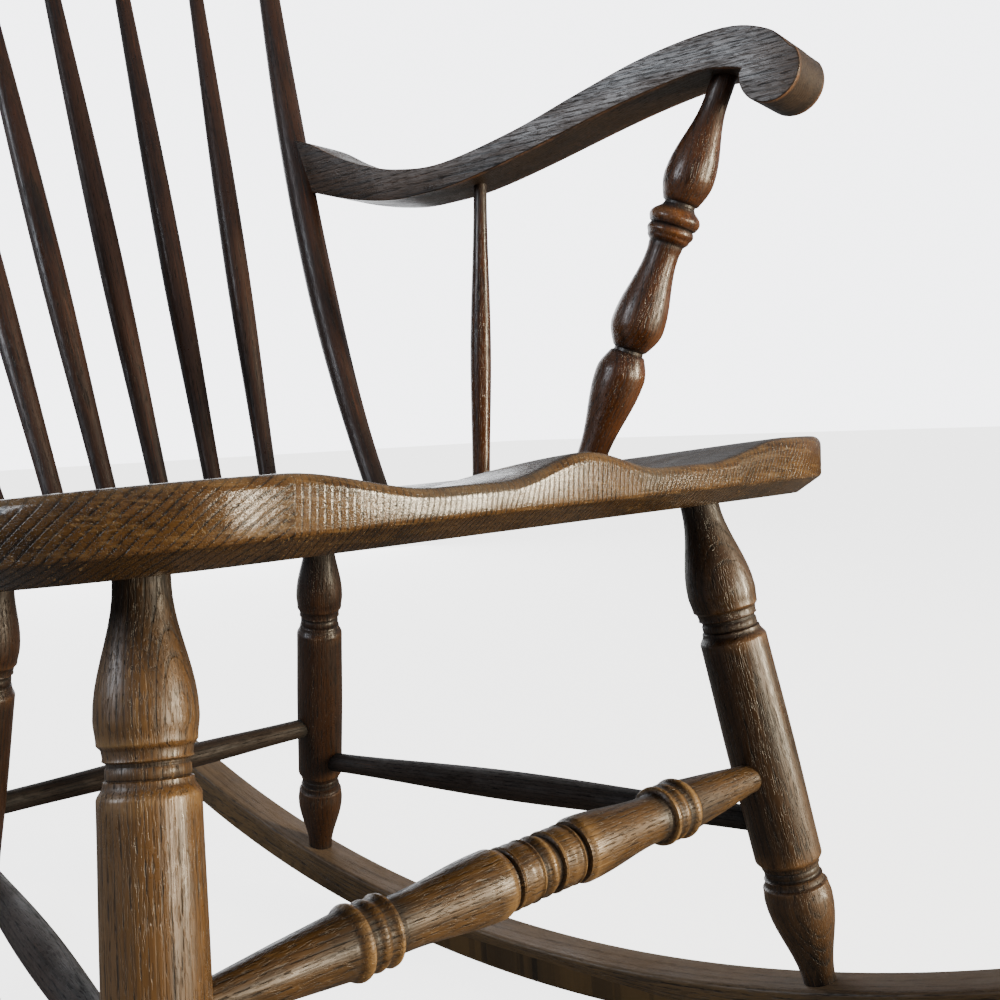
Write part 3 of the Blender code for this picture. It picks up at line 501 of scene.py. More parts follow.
def make_seat(made_of):
    """A board sawn to the outline, chamfered below and hollowed on top."""
    depth = SEAT_REAR_Y - SEAT_FRONT_Y
    half = [(x * SEAT_HALF_WIDTH, SEAT_FRONT_Y + y * depth) for x, y in SEAT_OUTLINE]
    ring = half + [(-x, y) for x, y in reversed(half[1:-1])]
    line = smooth_line(ring, 8, closed=True)
    piece = draw_edge("saddle_seat", [(p.x, p.y, 0.0) for p in line])
    bpy.ops.mesh.extrude_region_move(TRANSFORM_OT_translate={"value": (0, 0, -SEAT_SIDE_HEIGHT)})
    bpy.ops.mesh.inset(thickness=CHAMFER_IN, depth=0.0)
    bpy.ops.transform.translate(value=(0, 0, -CHAMFER_DOWN))
    bpy.ops.mesh.select_all(action="SELECT")
    bpy.ops.mesh.normals_make_consistent(inside=False)
    close_up()
    round_edges(piece, 0.0058, 5, 75)
    round_edges(piece, 0.0014, 3, 40)
    only(piece)
    bpy.ops.object.mode_set(mode="EDIT")
    grid = 0.005
    for normal, low, high in (((1, 0, 0), -0.275, 0.276), ((0, 1, 0), SEAT_FRONT_Y + 0.003, SEAT_REAR_Y)):
        place = low
        while place < high:
            bpy.ops.mesh.select_all(action="SELECT")
            bpy.ops.mesh.bisect(plane_co=tuple(place * n for n in normal), plane_no=normal)
            place += grid
    close_up()
    places = points_of(piece)
    top = smooth_step(-0.014, -0.006, places[:, 2])
    depth_here = seat_hollow(places[:, 0], places[:, 1])
    dished = places.copy()
    dished[:, 2] += SEAT_TOP_Z - SEAT_TILT * (places[:, 1] - SEAT_FRONT_Y) - depth_here * top
    write_points(piece, dished)
    smooth(piece, 40)
    soil = np.zeros(len(places))
    for node in SEAT_MEMBERS:
        foot, head = axis_ends(node)
        along = (head - foot).normalized()
        for end in (foot, head):
            away = places[:, :2] - np.array(end.xy)
            along_xy = np.array(along.xy) / along.z
            away = away - (dished[:, 2] - end.z)[:, None] * along_xy
            near = np.hypot(away[:, 0], away[:, 1])
            if abs(end.z - SEAT_MIDDLE_Z) < SEAT_REACH_Z:
                soil = np.maximum(soil, 1.0 - smooth_step(0.011, 0.024, near))
    rim = smooth_step(-0.0045, 0.0, places[:, 2]) - smooth_step(-0.0012, 0.0, places[:, 2])
    keep_mask(piece, "rubbed", rim)
    keep_mask(piece, "sat_on", smooth_step(0.001, 0.012, depth_here) * top)
    # painted shade: the chamfer and underside below the side are darkened
    painted_shade_below_side = places[:, 2] < -SEAT_SIDE_HEIGHT - 0.0005
    keep_mask(piece, "dirt_and_shade", np.maximum(soil, 0.6 * painted_shade_below_side))
    keep_grain(piece, np.stack([places[:, 0] - 0.300, places[:, 2] + 0.070 + 0.10 * places[:, 0],
                                places[:, 1] + 0.04 * places[:, 0]], axis=1))
    finish_piece(piece, made_of, "oak_seat", "seat")


ROCKER_RADIUS, ROCKER_LOW_Y = 1.048, -0.0234
ROCKER_THICKNESS, ROCKER_WIDTH = 0.0276, 0.0334
FRONT_FOOT, REAR_FOOT = (0.2265, -0.2772), (0.1582, 0.1825)
ROCKER_FRONT_Y, ROCKER_REAR_Y = -0.4100, 0.4146


def make_rockers(made_of):
    """A runner bent to an arc: its side drawn with round tips, then drawn out to its width."""
    heading = Vector((REAR_FOOT[0] - FRONT_FOOT[0], REAR_FOOT[1] - FRONT_FOOT[1])).normalized()
    reach = [(y - ROCKER_LOW_Y) / heading.y for y in (ROCKER_FRONT_Y, ROCKER_REAR_Y)]
    half = ROCKER_THICKNESS / 2
    middle = ROCKER_RADIUS - half
    count = 72
    angles = [mix(reach[0], reach[1], k / count) / ROCKER_RADIUS for k in range(count + 1)]
    line = [(math.sin(a) * ROCKER_RADIUS, ROCKER_RADIUS - math.cos(a) * ROCKER_RADIUS) for a in angles]
    for angle, way in ((angles[-1], 1), (angles[0], -1)):
        centre = Vector((math.sin(angle) * middle, ROCKER_RADIUS - math.cos(angle) * middle))
        out = Vector((math.cos(angle), math.sin(angle))) * way
        across = Vector((-out.y, out.x)) * half
        for k in range(1, 12):
            t = math.pi * k / 12
            point = centre - across * math.cos(t) + out * math.sin(t) * half
            line.append(tuple(point))
        if way == 1:
            inner = ROCKER_RADIUS - ROCKER_THICKNESS
            line += [(math.sin(a) * inner, ROCKER_RADIUS - math.cos(a) * inner) for a in reversed(angles)]
    piece = draw_edge("bent_rocker_left", [(x, 0.0, z) for x, z in line])
    bpy.ops.transform.translate(value=(0, ROCKER_WIDTH / 2, 0))
    bpy.ops.mesh.extrude_region_move(TRANSFORM_OT_translate={"value": (0, -ROCKER_WIDTH, 0)})
    close_up()
    face_outward(piece)
    rounding = 0.0030
    round_edges(piece, rounding, 4, 50)
    places = points_of(piece)
    radius = np.hypot(places[:, 0], ROCKER_RADIUS - places[:, 2])
    arc = np.arctan2(places[:, 0], ROCKER_RADIUS - places[:, 2]) * ROCKER_RADIUS
    edge = np.maximum(np.abs(places[:, 1]) - (ROCKER_WIDTH / 2 - rounding), 0.0) / rounding
    edge_radial = np.maximum(np.abs(radius - middle) - (half - rounding), 0.0) / rounding
    keep_mask(piece, "rubbed", smooth_step(0.15, 0.7, edge * edge_radial))
    tread = smooth_step(ROCKER_RADIUS - 0.004, ROCKER_RADIUS, radius) * (1.0 - edge)
    keep_mask(piece, "dirt_and_shade", 0.7 * tread)
    keep_grain(piece, np.stack([places[:, 1], radius - ROCKER_RADIUS, arc], axis=1))
    smooth(piece, 35)
    other = copy_of(piece, "bent_rocker_right")
    low_x = FRONT_FOOT[0] + (ROCKER_LOW_Y - FRONT_FOOT[1]) * heading.x / heading.y
    for made, (side, sign) in zip((piece, other), SIDES.items()):
        shift_grain(made, 31 + sign)
        run = Vector((heading.x * sign, heading.y, 0.0))
        stand(made, (low_x * sign, ROCKER_LOW_Y, 0.0), run, UP.cross(run), UP)
        finish_piece(made, made_of, "oak_rockers", f"rocker_{side}")


ARM_REAR, ARM_SPLAY, ARM_WIDTH = (0.1710, 0.1720), math.radians(11.92), 0.0486
ARM_TOP = [(-0.022, 0.6850), (0.0085, 0.6732), (0.0365, 0.6580), (0.0700, 0.6440),
           (0.1050, 0.6350), (0.1498, 0.6321), (0.2181, 0.6438), (0.2760, 0.6595),
           (0.3313, 0.6729), (0.3858, 0.6780), (0.4165, 0.6700), (0.4310, 0.6560)]
ARM_UNDER = [(0.3980, 0.6487), (0.3851, 0.6520), (0.3647, 0.6532), (0.3066, 0.6440),
             (0.2172, 0.6234), (0.1665, 0.6138), (0.1308, 0.6112), (0.0926, 0.6118),
             (0.0424, 0.6216), (-0.022, 0.6420)]
SCROLL_AT, SCROLL_RADIUS = Vector((0.4165, 0.6440)), 0.0205


def make_arms(made_of):
    """A board sawn to an S, its front end rolled over into a scroll."""
    top, under = smooth_line(ARM_TOP, 6), smooth_line(ARM_UNDER, 6)
    first = math.atan2(*(top[-1] - SCROLL_AT).yx)
    last = math.atan2(*(under[0] - SCROLL_AT).yx) - 2 * math.pi
    scroll = []
    for k in range(1, 30):
        a = mix(first, last, k / 30)
        scroll.append(SCROLL_AT + Vector((math.cos(a), math.sin(a))) * SCROLL_RADIUS)
    line = top + scroll + under
    piece = draw_edge("sawn_arm_left", [(p.x, ARM_WIDTH / 2, p.y) for p in line])
    bpy.ops.mesh.extrude_region_move(TRANSFORM_OT_translate={"value": (0, -ARM_WIDTH, 0)})
    close_up()
    face_outward(piece)
    round_edges(piece, 0.0040, 4, 60)
    only(piece)
    bpy.ops.object.mode_set(mode="EDIT")
    for across in (-0.0190, -0.0120, 0.0, 0.0120, 0.0190):
        bpy.ops.mesh.select_all(action="SELECT")
        bpy.ops.mesh.bisect(plane_co=(0, across, 0), plane_no=(0, 1, 0))
    close_up()
    places = points_of(piece)
    edge = smooth_step(ARM_WIDTH / 2 - 0.0042, ARM_WIDTH / 2 - 0.0012, np.abs(places[:, 1]))
    inside = smooth_step(0.0, 0.0012, ARM_WIDTH / 2 - np.abs(places[:, 1]))
    keep_mask(piece, "rubbed", edge * inside)
    away = np.hypot(places[:, 0] - SCROLL_AT.x, places[:, 2] - SCROLL_AT.y)
    rolled = smooth_step(0.0185, 0.0200, away) * smooth_step(0.412, 0.428, places[:, 0]) * (1.0 - edge)
    underside = np.array([tuple(p) for p in reversed(under)])
    above = places[:, 2] - np.interp(places[:, 0], underside[:, 0], underside[:, 1])
    # painted shade: the underside is darkened; the darker scroll end is stain taken up by end grain
    painted_shade_underneath = (1.0 - smooth_step(0.0005, 0.003, above)) * (1.0 - edge)
    keep_mask(piece, "dirt_and_shade", np.maximum(0.62 * rolled, 0.55 * painted_shade_underneath))
    keep_grain(piece, np.stack([places[:, 1] + 0.021, places[:, 2] - 0.60, places[:, 0]], axis=1))
    smooth(piece, 35)
    other = copy_of(piece, "sawn_arm_right")
    for made, (side, sign) in zip((piece, other), SIDES.items()):
        shift_grain(made, 41 + sign)
        run = Vector((math.sin(ARM_SPLAY) * sign, -math.cos(ARM_SPLAY), 0.0))
        out = Vector((math.cos(ARM_SPLAY) * sign, math.sin(ARM_SPLAY), 0.0))
        base = Vector((ARM_REAR[0] * sign, ARM_REAR[1], 0.0)) + out * (ARM_WIDTH / 2)
        stand(made, base, run, UP.cross(run), UP)
        finish_piece(made, made_of, "oak_arms", f"arm_{side}")


POST_FOOT = (0.1512, 0.0626)
POST_FOOT_Z = SEAT_TOP_Z - SEAT_TILT * (POST_FOOT[1] - SEAT_FRONT_Y)
POST_FOOT_TENON, POST_HEAD_TENON = 0.0155, 0.019
POST_RAKE, POST_BEND, BEND_HEIGHT, POST_SPLAY = 0.240, 0.360, 0.200, 0.078
CREST_LOW_Z = 0.915


def post_centre(z):
    """Centre line of the left back post: a rake that eases with height."""
    rise = z - POST_FOOT_Z
    eased = BEND_HEIGHT * (1.0 - math.exp(-rise / BEND_HEIGHT)) if rise > 0.0 else rise
    back = POST_RAKE * rise + POST_BEND * eased
    return Vector((POST_FOOT[0] + POST_SPLAY * rise, POST_FOOT[1] + back, z))


def make_posts(made_of):
    """A round bent post: a disc drawn out station by station along the bend."""
    low, high = POST_FOOT_Z - POST_FOOT_TENON, CREST_LOW_Z + POST_HEAD_TENON
    stations = [mix(low, high, k / 60) for k in range(61)]
    clear_bench()
    base = post_centre(low)

    def radius_at(z):
        share = (z - POST_FOOT_Z) / (CREST_LOW_Z - POST_FOOT_Z)
        if share < 0.35:
            return float(mix(0.0092, 0.0122, smooth_step(0.0, 0.35, share)))
        return float(mix(0.0122, 0.0084, smooth_step(0.50, 1.0, share)))

    bpy.ops.mesh.primitive_circle_add(vertices=44, radius=radius_at(low), fill_type="NGON", location=base)
    piece = bpy.context.object
    piece.name = "bent_post_left"
    open_all()
    for here, there in zip(stations, stations[1:]):
        step = post_centre(there) - post_centre(here)
        share = radius_at(there) / radius_at(here)
        bpy.ops.mesh.extrude_region_move(TRANSFORM_OT_translate={"value": step})
        bpy.ops.transform.resize(value=(share, share, 1), center_override=post_centre(there))
    close_up()
    settle(piece)
    places = points_of(piece)
    centres = np.array([post_centre(z) for z in places[:, 2]])
    slope = np.array([(post_centre(z + 0.002) - post_centre(z - 0.002)) / 0.004 for z in places[:, 2]])
    steep = slope / np.linalg.norm(slope, axis=1)[:, None]
    off = places - centres
    lean = off - (off * steep).sum(axis=1)[:, None] * steep
    length = np.linalg.norm(off, axis=1)
    square = centres + lean * (length / np.maximum(np.linalg.norm(lean, axis=1), 1e-9))[:, None]
    write_points(piece, square)
    face_outward(piece)
    keep_mask(piece, "rubbed", np.zeros(len(square)))
    keep_mask(piece, "dirt_and_shade", 1.0 - smooth_step(0.0, 0.008, np.abs(places[:, 2] - POST_FOOT_Z)))
    keep_grain(piece, np.stack([off[:, 0], off[:, 1], places[:, 2] * 1.06], axis=1))
    smooth(piece, 50)
    other = mirror_of(piece, "bent_post_right")
    for made, side in ((piece, "left"), (other, "right")):
        shift_grain(made, 51 + (side == "right"))
        finish_piece(made, made_of, "oak_back", f"back_post_{side}")


CREST_CENTRE_Y, CREST_HALF_SPAN = 0.3187, 0.220


def make_crest(made_of):
    """A bowed board: its end drawn, spun along the arc, then leaned back and tapered."""
    head = post_centre(CREST_LOW_Z)
    bow = CREST_CENTRE_Y - head.y
    radius = (head.x ** 2 + bow ** 2) / (2.0 * bow)
    half_angle = math.asin(CREST_HALF_SPAN / radius)
    height, end_height, thick, flare = 0.070, 0.048, 0.022, 0.300
    clear_bench()
    bpy.ops.mesh.primitive_plane_add(size=1, location=(0, radius, CREST_LOW_Z + height / 2))
    piece = bpy.context.object
    piece.name = "bent_crest"
    piece.scale = (thick, height, 1)
    piece.rotation_euler = (math.pi / 2, 0, math.pi / 2)
    settle(piece)
    open_all()
    bpy.ops.mesh.subdivide(number_cuts=1)
    close_up()
    piece.rotation_euler = (0, 0, half_angle)
    settle(piece)
    open_all()
    bpy.ops.mesh.spin(steps=72, angle=2 * half_angle, center=(0, 0, 0), axis=(0, 0, 1))
    close_up()
    face_outward(piece)
    places = points_of(piece)
    turn = np.abs(np.arctan2(places[:, 0], places[:, 1])) / half_angle
    rise = places[:, 2] - CREST_LOW_Z
    tall = mix(height, end_height, turn ** 2.5)
    scaled = rise * tall / height
    out = np.hypot(places[:, 0], places[:, 1])
    reach = (out + flare * scaled) / out
    bent = np.stack([places[:, 0] * reach, places[:, 1] * reach + CREST_CENTRE_Y - radius,
                     CREST_LOW_Z + scaled], axis=1)
    write_points(piece, bent)
    round_edges(piece, 0.0062, 5, 60)
    places = points_of(piece)
    arc = np.arctan2(places[:, 0], places[:, 1] - CREST_CENTRE_Y + radius) * radius
    out = np.hypot(places[:, 0], places[:, 1] - CREST_CENTRE_Y + radius) - radius
    keep_mask(piece, "rubbed", smooth_step(0.035, 0.066, places[:, 2] - CREST_LOW_Z) * 0.5)
    keep_mask(piece, "dirt_and_shade", 1.0 - smooth_step(0.0, 0.004, places[:, 2] - CREST_LOW_Z))
    keep_grain(piece, np.stack([out + 0.03, places[:, 2] - 0.90, arc], axis=1))
    smooth(piece, 40)
    finish_piece(piece, made_of, "oak_back", "crest_rail")


def make_screws(made_of):
    low, high = axis_ends("arm_screw_left")
    length = (high - low).length
    line = [(0.0, 0.0024), (0.0003, 0.0036), (0.0008, 0.0041), (0.0024, 0.0042), (0.0026, 0.0021),
            (length - 0.004, 0.0021), (length, 0.0008)]
    for side in SIDES:
        low, high = axis_ends(f"arm_screw_{side}")
        if low.y < high.y:
            low, high = high, low
        piece = turn_on_lathe(f"turned_screw_{side}", line, 32)
        place_between(piece, low, high)
        finish_piece(piece, made_of, "screw_steel", f"arm_screw_{side}")


# --- finishes: effects shared by several materials ----------------------------------
COLOUR, VALUE, VECTOR = "NodeSocketColor", "NodeSocketFloat", "NodeSocketVector"


def new_effect(name, inputs, outputs):
    """A shader group; inputs are (label, kind, starting value)."""
    group = bpy.data.node_groups.new(name, "ShaderNodeTree")
    for label, kind, start in inputs:
        socket = group.interface.new_socket(name=label, in_out="INPUT", socket_type=kind)
        if start is not None:
            socket.default_value = start
    for label, kind in outputs:
        group.interface.new_socket(name=label, in_out="OUTPUT", socket_type=kind)
    return group, group.nodes.new("NodeGroupInput").outputs, group.nodes.new("NodeGroupOutput").inputs


def put(tree, kind, settings=None, **inputs):
    """A node with its settings made; inputs are values or other nodes' outputs."""
    made = tree.nodes.new(kind)
    for label, setting in (settings or {}).items():
        setattr(made, label, setting)
    for label, value in inputs.items():
        connect(tree, made.inputs[label.replace("_", " ")], value)
    return made


def connect(tree, socket, value):
    if isinstance(value, bpy.types.NodeSocket):
        tree.links.new(value, socket)
    else:
        socket.default_value = value


def maths(tree, operation, first, second=0.5, third=0.5, clamp=False):
    made = tree.nodes.new("ShaderNodeMath")
    made.operation = operation
    made.use_clamp = clamp
    for socket, value in zip(made.inputs, (first, second, third)):
        connect(tree, socket, value)
    return made.outputs[0]


def span(tree, value, low, high, to_low=0.0, to_high=1.0):
    """Smoothly carries low..high to to_low..to_high."""
    made = tree.nodes.new("ShaderNodeMapRange")
    made.interpolation_type = "SMOOTHSTEP"
    for socket, item in zip(made.inputs, (value, low, high, to_low, to_high)):
        connect(tree, socket, item)
    return made.outputs[0]


def blend(tree, share, first, second, how="MIX"):
    made = tree.nodes.new("ShaderNodeMix")
    made.data_type = "RGBA"
    made.blend_type = how
    made.clamp_factor = True
    connect(tree, made.inputs[0], share)
    connect(tree, made.inputs[6], first)
    connect(tree, made.inputs[7], second)
    return made.outputs[2]


def stretched(tree, vector, scale):
    return put(tree, "ShaderNodeMapping", Vector=vector, Scale=scale).outputs[0]


def noise(tree, vector, scale, detail=2.0, rough=0.5):
    made = put(tree, "ShaderNodeTexNoise", Vector=vector, Scale=scale, Detail=detail, Roughness=rough)
    return made.outputs[0]


def surface_normal(tree):
    """X, Y and Z of the way the surface faces."""
    facing = put(tree, "ShaderNodeNewGeometry").outputs["Normal"]
    return put(tree, "ShaderNodeSeparateXYZ", Vector=facing).outputs


def mask_of(tree, name):
    return put(tree, "ShaderNodeAttribute", {"attribute_name": name}).outputs["Fac"]


def glued_boards(tree, grain, boards):
    """A plank of several boards: beyond each joint, the grain comes from another part of the tree."""
    across = put(tree, "ShaderNodeSeparateXYZ", Vector=put(tree, "ShaderNodeTexCoord").outputs["Object"])
    for joint, shift in boards:
        moved = put(tree, "ShaderNodeVectorMath", {"operation": "MULTIPLY_ADD"})
        connect(tree, moved.inputs[0], maths(tree, "LESS_THAN", across.outputs[0], joint))
        connect(tree, moved.inputs[1], shift)
        connect(tree, moved.inputs[2], grain)
        grain = moved.outputs[0]
    return grain


def oak_figure():
    """Growth rings, pores and fibres of oak; Z of Grain runs along the tree."""
    tree, given, result = new_effect("oak figure", [
        ("Grain", VECTOR, None), ("Light", COLOUR, (0.30, 0.14, 0.05, 1)),
        ("Dark", COLOUR, (0.10, 0.04, 0.015, 1)), ("Pore", COLOUR, (0.012, 0.006, 0.003, 1)),
        ("Ring Width", VALUE, 0.0030), ("Ring Strength", VALUE, 0.5), ("Pore Strength", VALUE, 0.8),
        ("Streaks", VALUE, 0.5)],
        [("Colour", COLOUR), ("Pores", VALUE), ("Height", VALUE)])
    grain = given["Grain"]
    drift = put(tree, "ShaderNodeTexNoise", Vector=stretched(tree, grain, (1, 1, 0.10)), Scale=11.0,
                Detail=2.0)
    centred = put(tree, "ShaderNodeVectorMath", {"operation": "SUBTRACT"})
    connect(tree, centred.inputs[0], drift.outputs["Color"])
    connect(tree, centred.inputs[1], (0.5, 0.5, 0.5))
    small = put(tree, "ShaderNodeVectorMath", {"operation": "SCALE"})
    connect(tree, small.inputs[0], centred.outputs[0])
    connect(tree, small.inputs["Scale"], 0.016)
    wandering = put(tree, "ShaderNodeVectorMath", {"operation": "ADD"})
    connect(tree, wandering.inputs[0], grain)
    connect(tree, wandering.inputs[1], small.outputs[0])
    parts = put(tree, "ShaderNodeSeparateXYZ", Vector=wandering.outputs[0])
    across = maths(tree, "POWER", parts.outputs[0], 2.0)
    across = maths(tree, "SQRT", maths(tree, "ADD", across, maths(tree, "POWER", parts.outputs[1], 2.0)))
    phase = maths(tree, "FRACT", maths(tree, "DIVIDE", across, given["Ring Width"]))
    fading, starting = span(tree, phase, 0.02, 0.36, 1.0, 0.0), span(tree, phase, 0.92, 1.0, 0.0, 1.0)
    early = maths(tree, "ADD", fading, starting)
    early = maths(tree, "MINIMUM", early, 1.0)
    fibres = noise(tree, stretched(tree, grain, (1, 1, 0.06)), 560.0, 4.0, 0.68)
    streak = noise(tree, stretched(tree, grain, (1, 1, 0.09)), 130.0, 3.0, 0.6)
    broad = noise(tree, stretched(tree, grain, (1, 1, 0.45)), 24.0, 4.0, 0.6)
    vessels = noise(tree, stretched(tree, grain, (1, 1, 0.085)), 1300.0, 1.5, 0.5)
    pores = span(tree, vessels, 0.525, 0.61)
    pores = maths(tree, "MULTIPLY", pores, maths(tree, "MULTIPLY_ADD", early, 0.60, 0.40))
    dark = maths(tree, "MULTIPLY", early, given["Ring Strength"])
    spread = span(tree, streak, 0.34, 0.68, -0.5, 0.5)
    dark = maths(tree, "MULTIPLY_ADD", spread, given["Streaks"], dark)
    dark = maths(tree, "ADD", dark, span(tree, broad, 0.32, 0.68, -0.22, 0.46))
    dark = maths(tree, "ADD", dark, span(tree, fibres, 0.32, 0.68, -0.24, 0.24), clamp=True)
    colour = blend(tree, dark, given["Light"], given["Dark"])
    deep = maths(tree, "MULTIPLY", pores, given["Pore Strength"], clamp=True)
    tree.links.new(blend(tree, deep, colour, given["Pore"]), result["Colour"])
    rings = maths(tree, "MULTIPLY", early, maths(tree, "MULTIPLY", given["Ring Strength"], 0.8))
    tree.links.new(maths(tree, "MAXIMUM", pores, rings), result["Pores"])
    height = maths(tree, "MULTIPLY_ADD", fibres, 0.25, maths(tree, "MULTIPLY", pores, -0.9))
    height = maths(tree, "MULTIPLY_ADD", rings, -0.35, height)
    tree.links.new(height, result["Height"])
    return tree


def years_of_use():
    """Rubs the ridges back to paler wood, and darkens what the dark mask marks: dirty wax, and painted
    shade in grooves and under parts.
    """
    tree, given, result = new_effect("years of use", [
        ("Grain", VECTOR, None), ("Colour", COLOUR, (0.1, 0.05, 0.02, 1)), ("Rubbed", VALUE, 0.0),
        ("Grimy", VALUE, 0.0), ("Bare", COLOUR, (0.35, 0.19, 0.085, 1)),
        ("Wax", COLOUR, (0.006, 0.004, 0.003, 1)), ("Rub Strength", VALUE, 0.5),
        ("Wax Strength", VALUE, 0.85), ("Nicks", VALUE, 0.4)],
        [("Colour", COLOUR), ("Height", VALUE), ("Wax", VALUE)])
    patches = noise(tree, given["Grain"], 55.0, 4.0, 0.65)
    crumbs = noise(tree, given["Grain"], 300.0, 3.0, 0.6)
    rub = maths(tree, "MULTIPLY", given["Rubbed"], given["Rub Strength"])
    rub = maths(tree, "MULTIPLY", rub, span(tree, patches, 0.36, 0.60), clamp=True)
    colour = blend(tree, rub, given["Colour"], given["Bare"])
    # the near-black colour stands for dirty wax and also for painted shade
    wax_and_shade = maths(tree, "MULTIPLY", given["Grimy"], given["Wax Strength"])
    wax_and_shade = maths(tree, "MULTIPLY", wax_and_shade, span(tree, crumbs, 0.20, 0.52, 0.55, 1.0), clamp=True)
    colour = blend(tree, wax_and_shade, colour, given["Wax"])
    spots = put(tree, "ShaderNodeTexVoronoi", Scale=68.0,
                Vector=stretched(tree, given["Grain"], (1, 1, 0.55)))
    nick = span(tree, spots.outputs["Distance"], 0.05, 0.11, 1.0, 0.0)
    chance = maths(tree, "GREATER_THAN", noise(tree, given["Grain"], 34.0, 1.0), 0.60)
    nick = maths(tree, "MULTIPLY", maths(tree, "MULTIPLY", nick, chance), given["Nicks"], clamp=True)
    tree.links.new(blend(tree, nick, colour, given["Wax"]), result["Colour"])
    tree.links.new(maths(tree, "MULTIPLY", nick, -1.0), result["Height"])
    tree.links.new(wax_and_shade, result["Wax"])
    return tree


def old_varnish():
    """Uneven gloss: handled smooth in places, dulled and crazed in others."""
    tree, given, result = new_effect("old varnish", [
        ("Grain", VECTOR, None), ("Pores", VALUE, 0.0), ("Wax", VALUE, 0.0), ("Gloss", VALUE, 0.34),
        ("Spread", VALUE, 0.16)],
        [("Roughness", VALUE), ("Height", VALUE), ("Coat", VALUE)])
    smear = noise(tree, stretched(tree, given["Grain"], (1, 1, 0.35)), 42.0, 4.0, 0.6)
    speck = noise(tree, given["Grain"], 620.0, 2.0, 0.6)
    uneven = span(tree, smear, 0.30, 0.72, -0.5, 0.8)
    rough = maths(tree, "MULTIPLY_ADD", uneven, given["Spread"], given["Gloss"])
    rough = maths(tree, "MULTIPLY_ADD", given["Pores"], 0.26, rough)
    rough = maths(tree, "MULTIPLY_ADD", given["Wax"], 0.22, rough)
    rough = maths(tree, "ADD", rough, span(tree, speck, 0.3, 0.7, -0.04, 0.06), clamp=True)
    tree.links.new(rough, result["Roughness"])
    tree.links.new(maths(tree, "MULTIPLY", smear, 0.5), result["Height"])
    coat = span(tree, smear, 0.35, 0.75, 0.24, 0.06)
    tree.links.new(maths(tree, "MULTIPLY_ADD", given["Pores"], -0.14, coat, clamp=True), result["Coat"])
    return tree


def settled_dust():
    """Pale dust on faces that look up, heavier in patches."""
    tree, given, result = new_effect("settled dust", [
        ("Grain", VECTOR, None), ("Colour", COLOUR, (0.1, 0.05, 0.02, 1)),
        ("Dust", COLOUR, (0.33, 0.29, 0.23, 1)), ("Amount", VALUE, 0.4), ("Steepest", VALUE, 0.55)],
        [("Colour", COLOUR), ("Dusty", VALUE)])
    lying = span(tree, surface_normal(tree)[2], given["Steepest"], 0.98)
    drifts = noise(tree, given["Grain"], 30.0, 5.0, 0.68)
    grit = noise(tree, given["Grain"], 750.0, 2.0, 0.7)
    patchy, speckled = span(tree, drifts, 0.30, 0.68, 0.45, 1.0), span(tree, grit, 0.30, 0.66, 0.6, 1.0)
    cover = maths(tree, "MULTIPLY", patchy, speckled)
    cover = maths(tree, "MULTIPLY", cover, maths(tree, "MULTIPLY", lying, given["Amount"]), clamp=True)
    tree.links.new(blend(tree, cover, given["Colour"], given["Dust"]), result["Colour"])
    tree.links.new(cover, result["Dusty"])
    return tree


def scuffs():
    """Fine scratches that cross the surface in two directions, as a height and a mask."""
    tree, given, result = new_effect("scuffs", [
        ("Grain", VECTOR, None), ("Amount", VALUE, 0.4)], [("Mask", VALUE), ("Height", VALUE)])
    lines = []
    for turn, seed in ((0.45, 3.0), (-0.80, 9.0)):
        turned = put(tree, "ShaderNodeMapping", Vector=given["Grain"], Rotation=(0.0, turn, turn * 0.6),
                     Location=(seed, seed, 0.0), Scale=(1.0, 1.0, 0.018))
        fine = noise(tree, turned.outputs[0], 640.0, 1.0, 0.4)
        lines.append(span(tree, fine, 0.70, 0.745))
    where = span(tree, noise(tree, given["Grain"], 24.0, 2.0), 0.44, 0.62)
    mask = maths(tree, "MAXIMUM", lines[0], lines[1])
    mask = maths(tree, "MULTIPLY", maths(tree, "MULTIPLY", mask, where), given["Amount"], clamp=True)
    tree.links.new(mask, result["Mask"])
    tree.links.new(maths(tree, "MULTIPLY", mask, -0.6), result["Height"])
    return tree


EFFECTS = {make.__name__: make() for make in (oak_figure, years_of_use, old_varnish, settled_dust, scuffs)}


def place_effect(tree, name, **inputs):
    made = tree.nodes.new("ShaderNodeGroup")
    made.node_tree = EFFECTS[name]
    made.label = EFFECTS[name].name
    for label, value in inputs.items():
        connect(tree, made.inputs[label.replace("_", " ")], value)
    return made.outputs


def rgb(red, green, blue):
    """A colour from its everyday 0..255 numbers."""
    linear = [((c / 255 + 0.055) / 1.055) ** 2.4 if c > 10 else c / 255 / 12.92 for c in (red, green, blue)]
    return (*linear, 1.0)


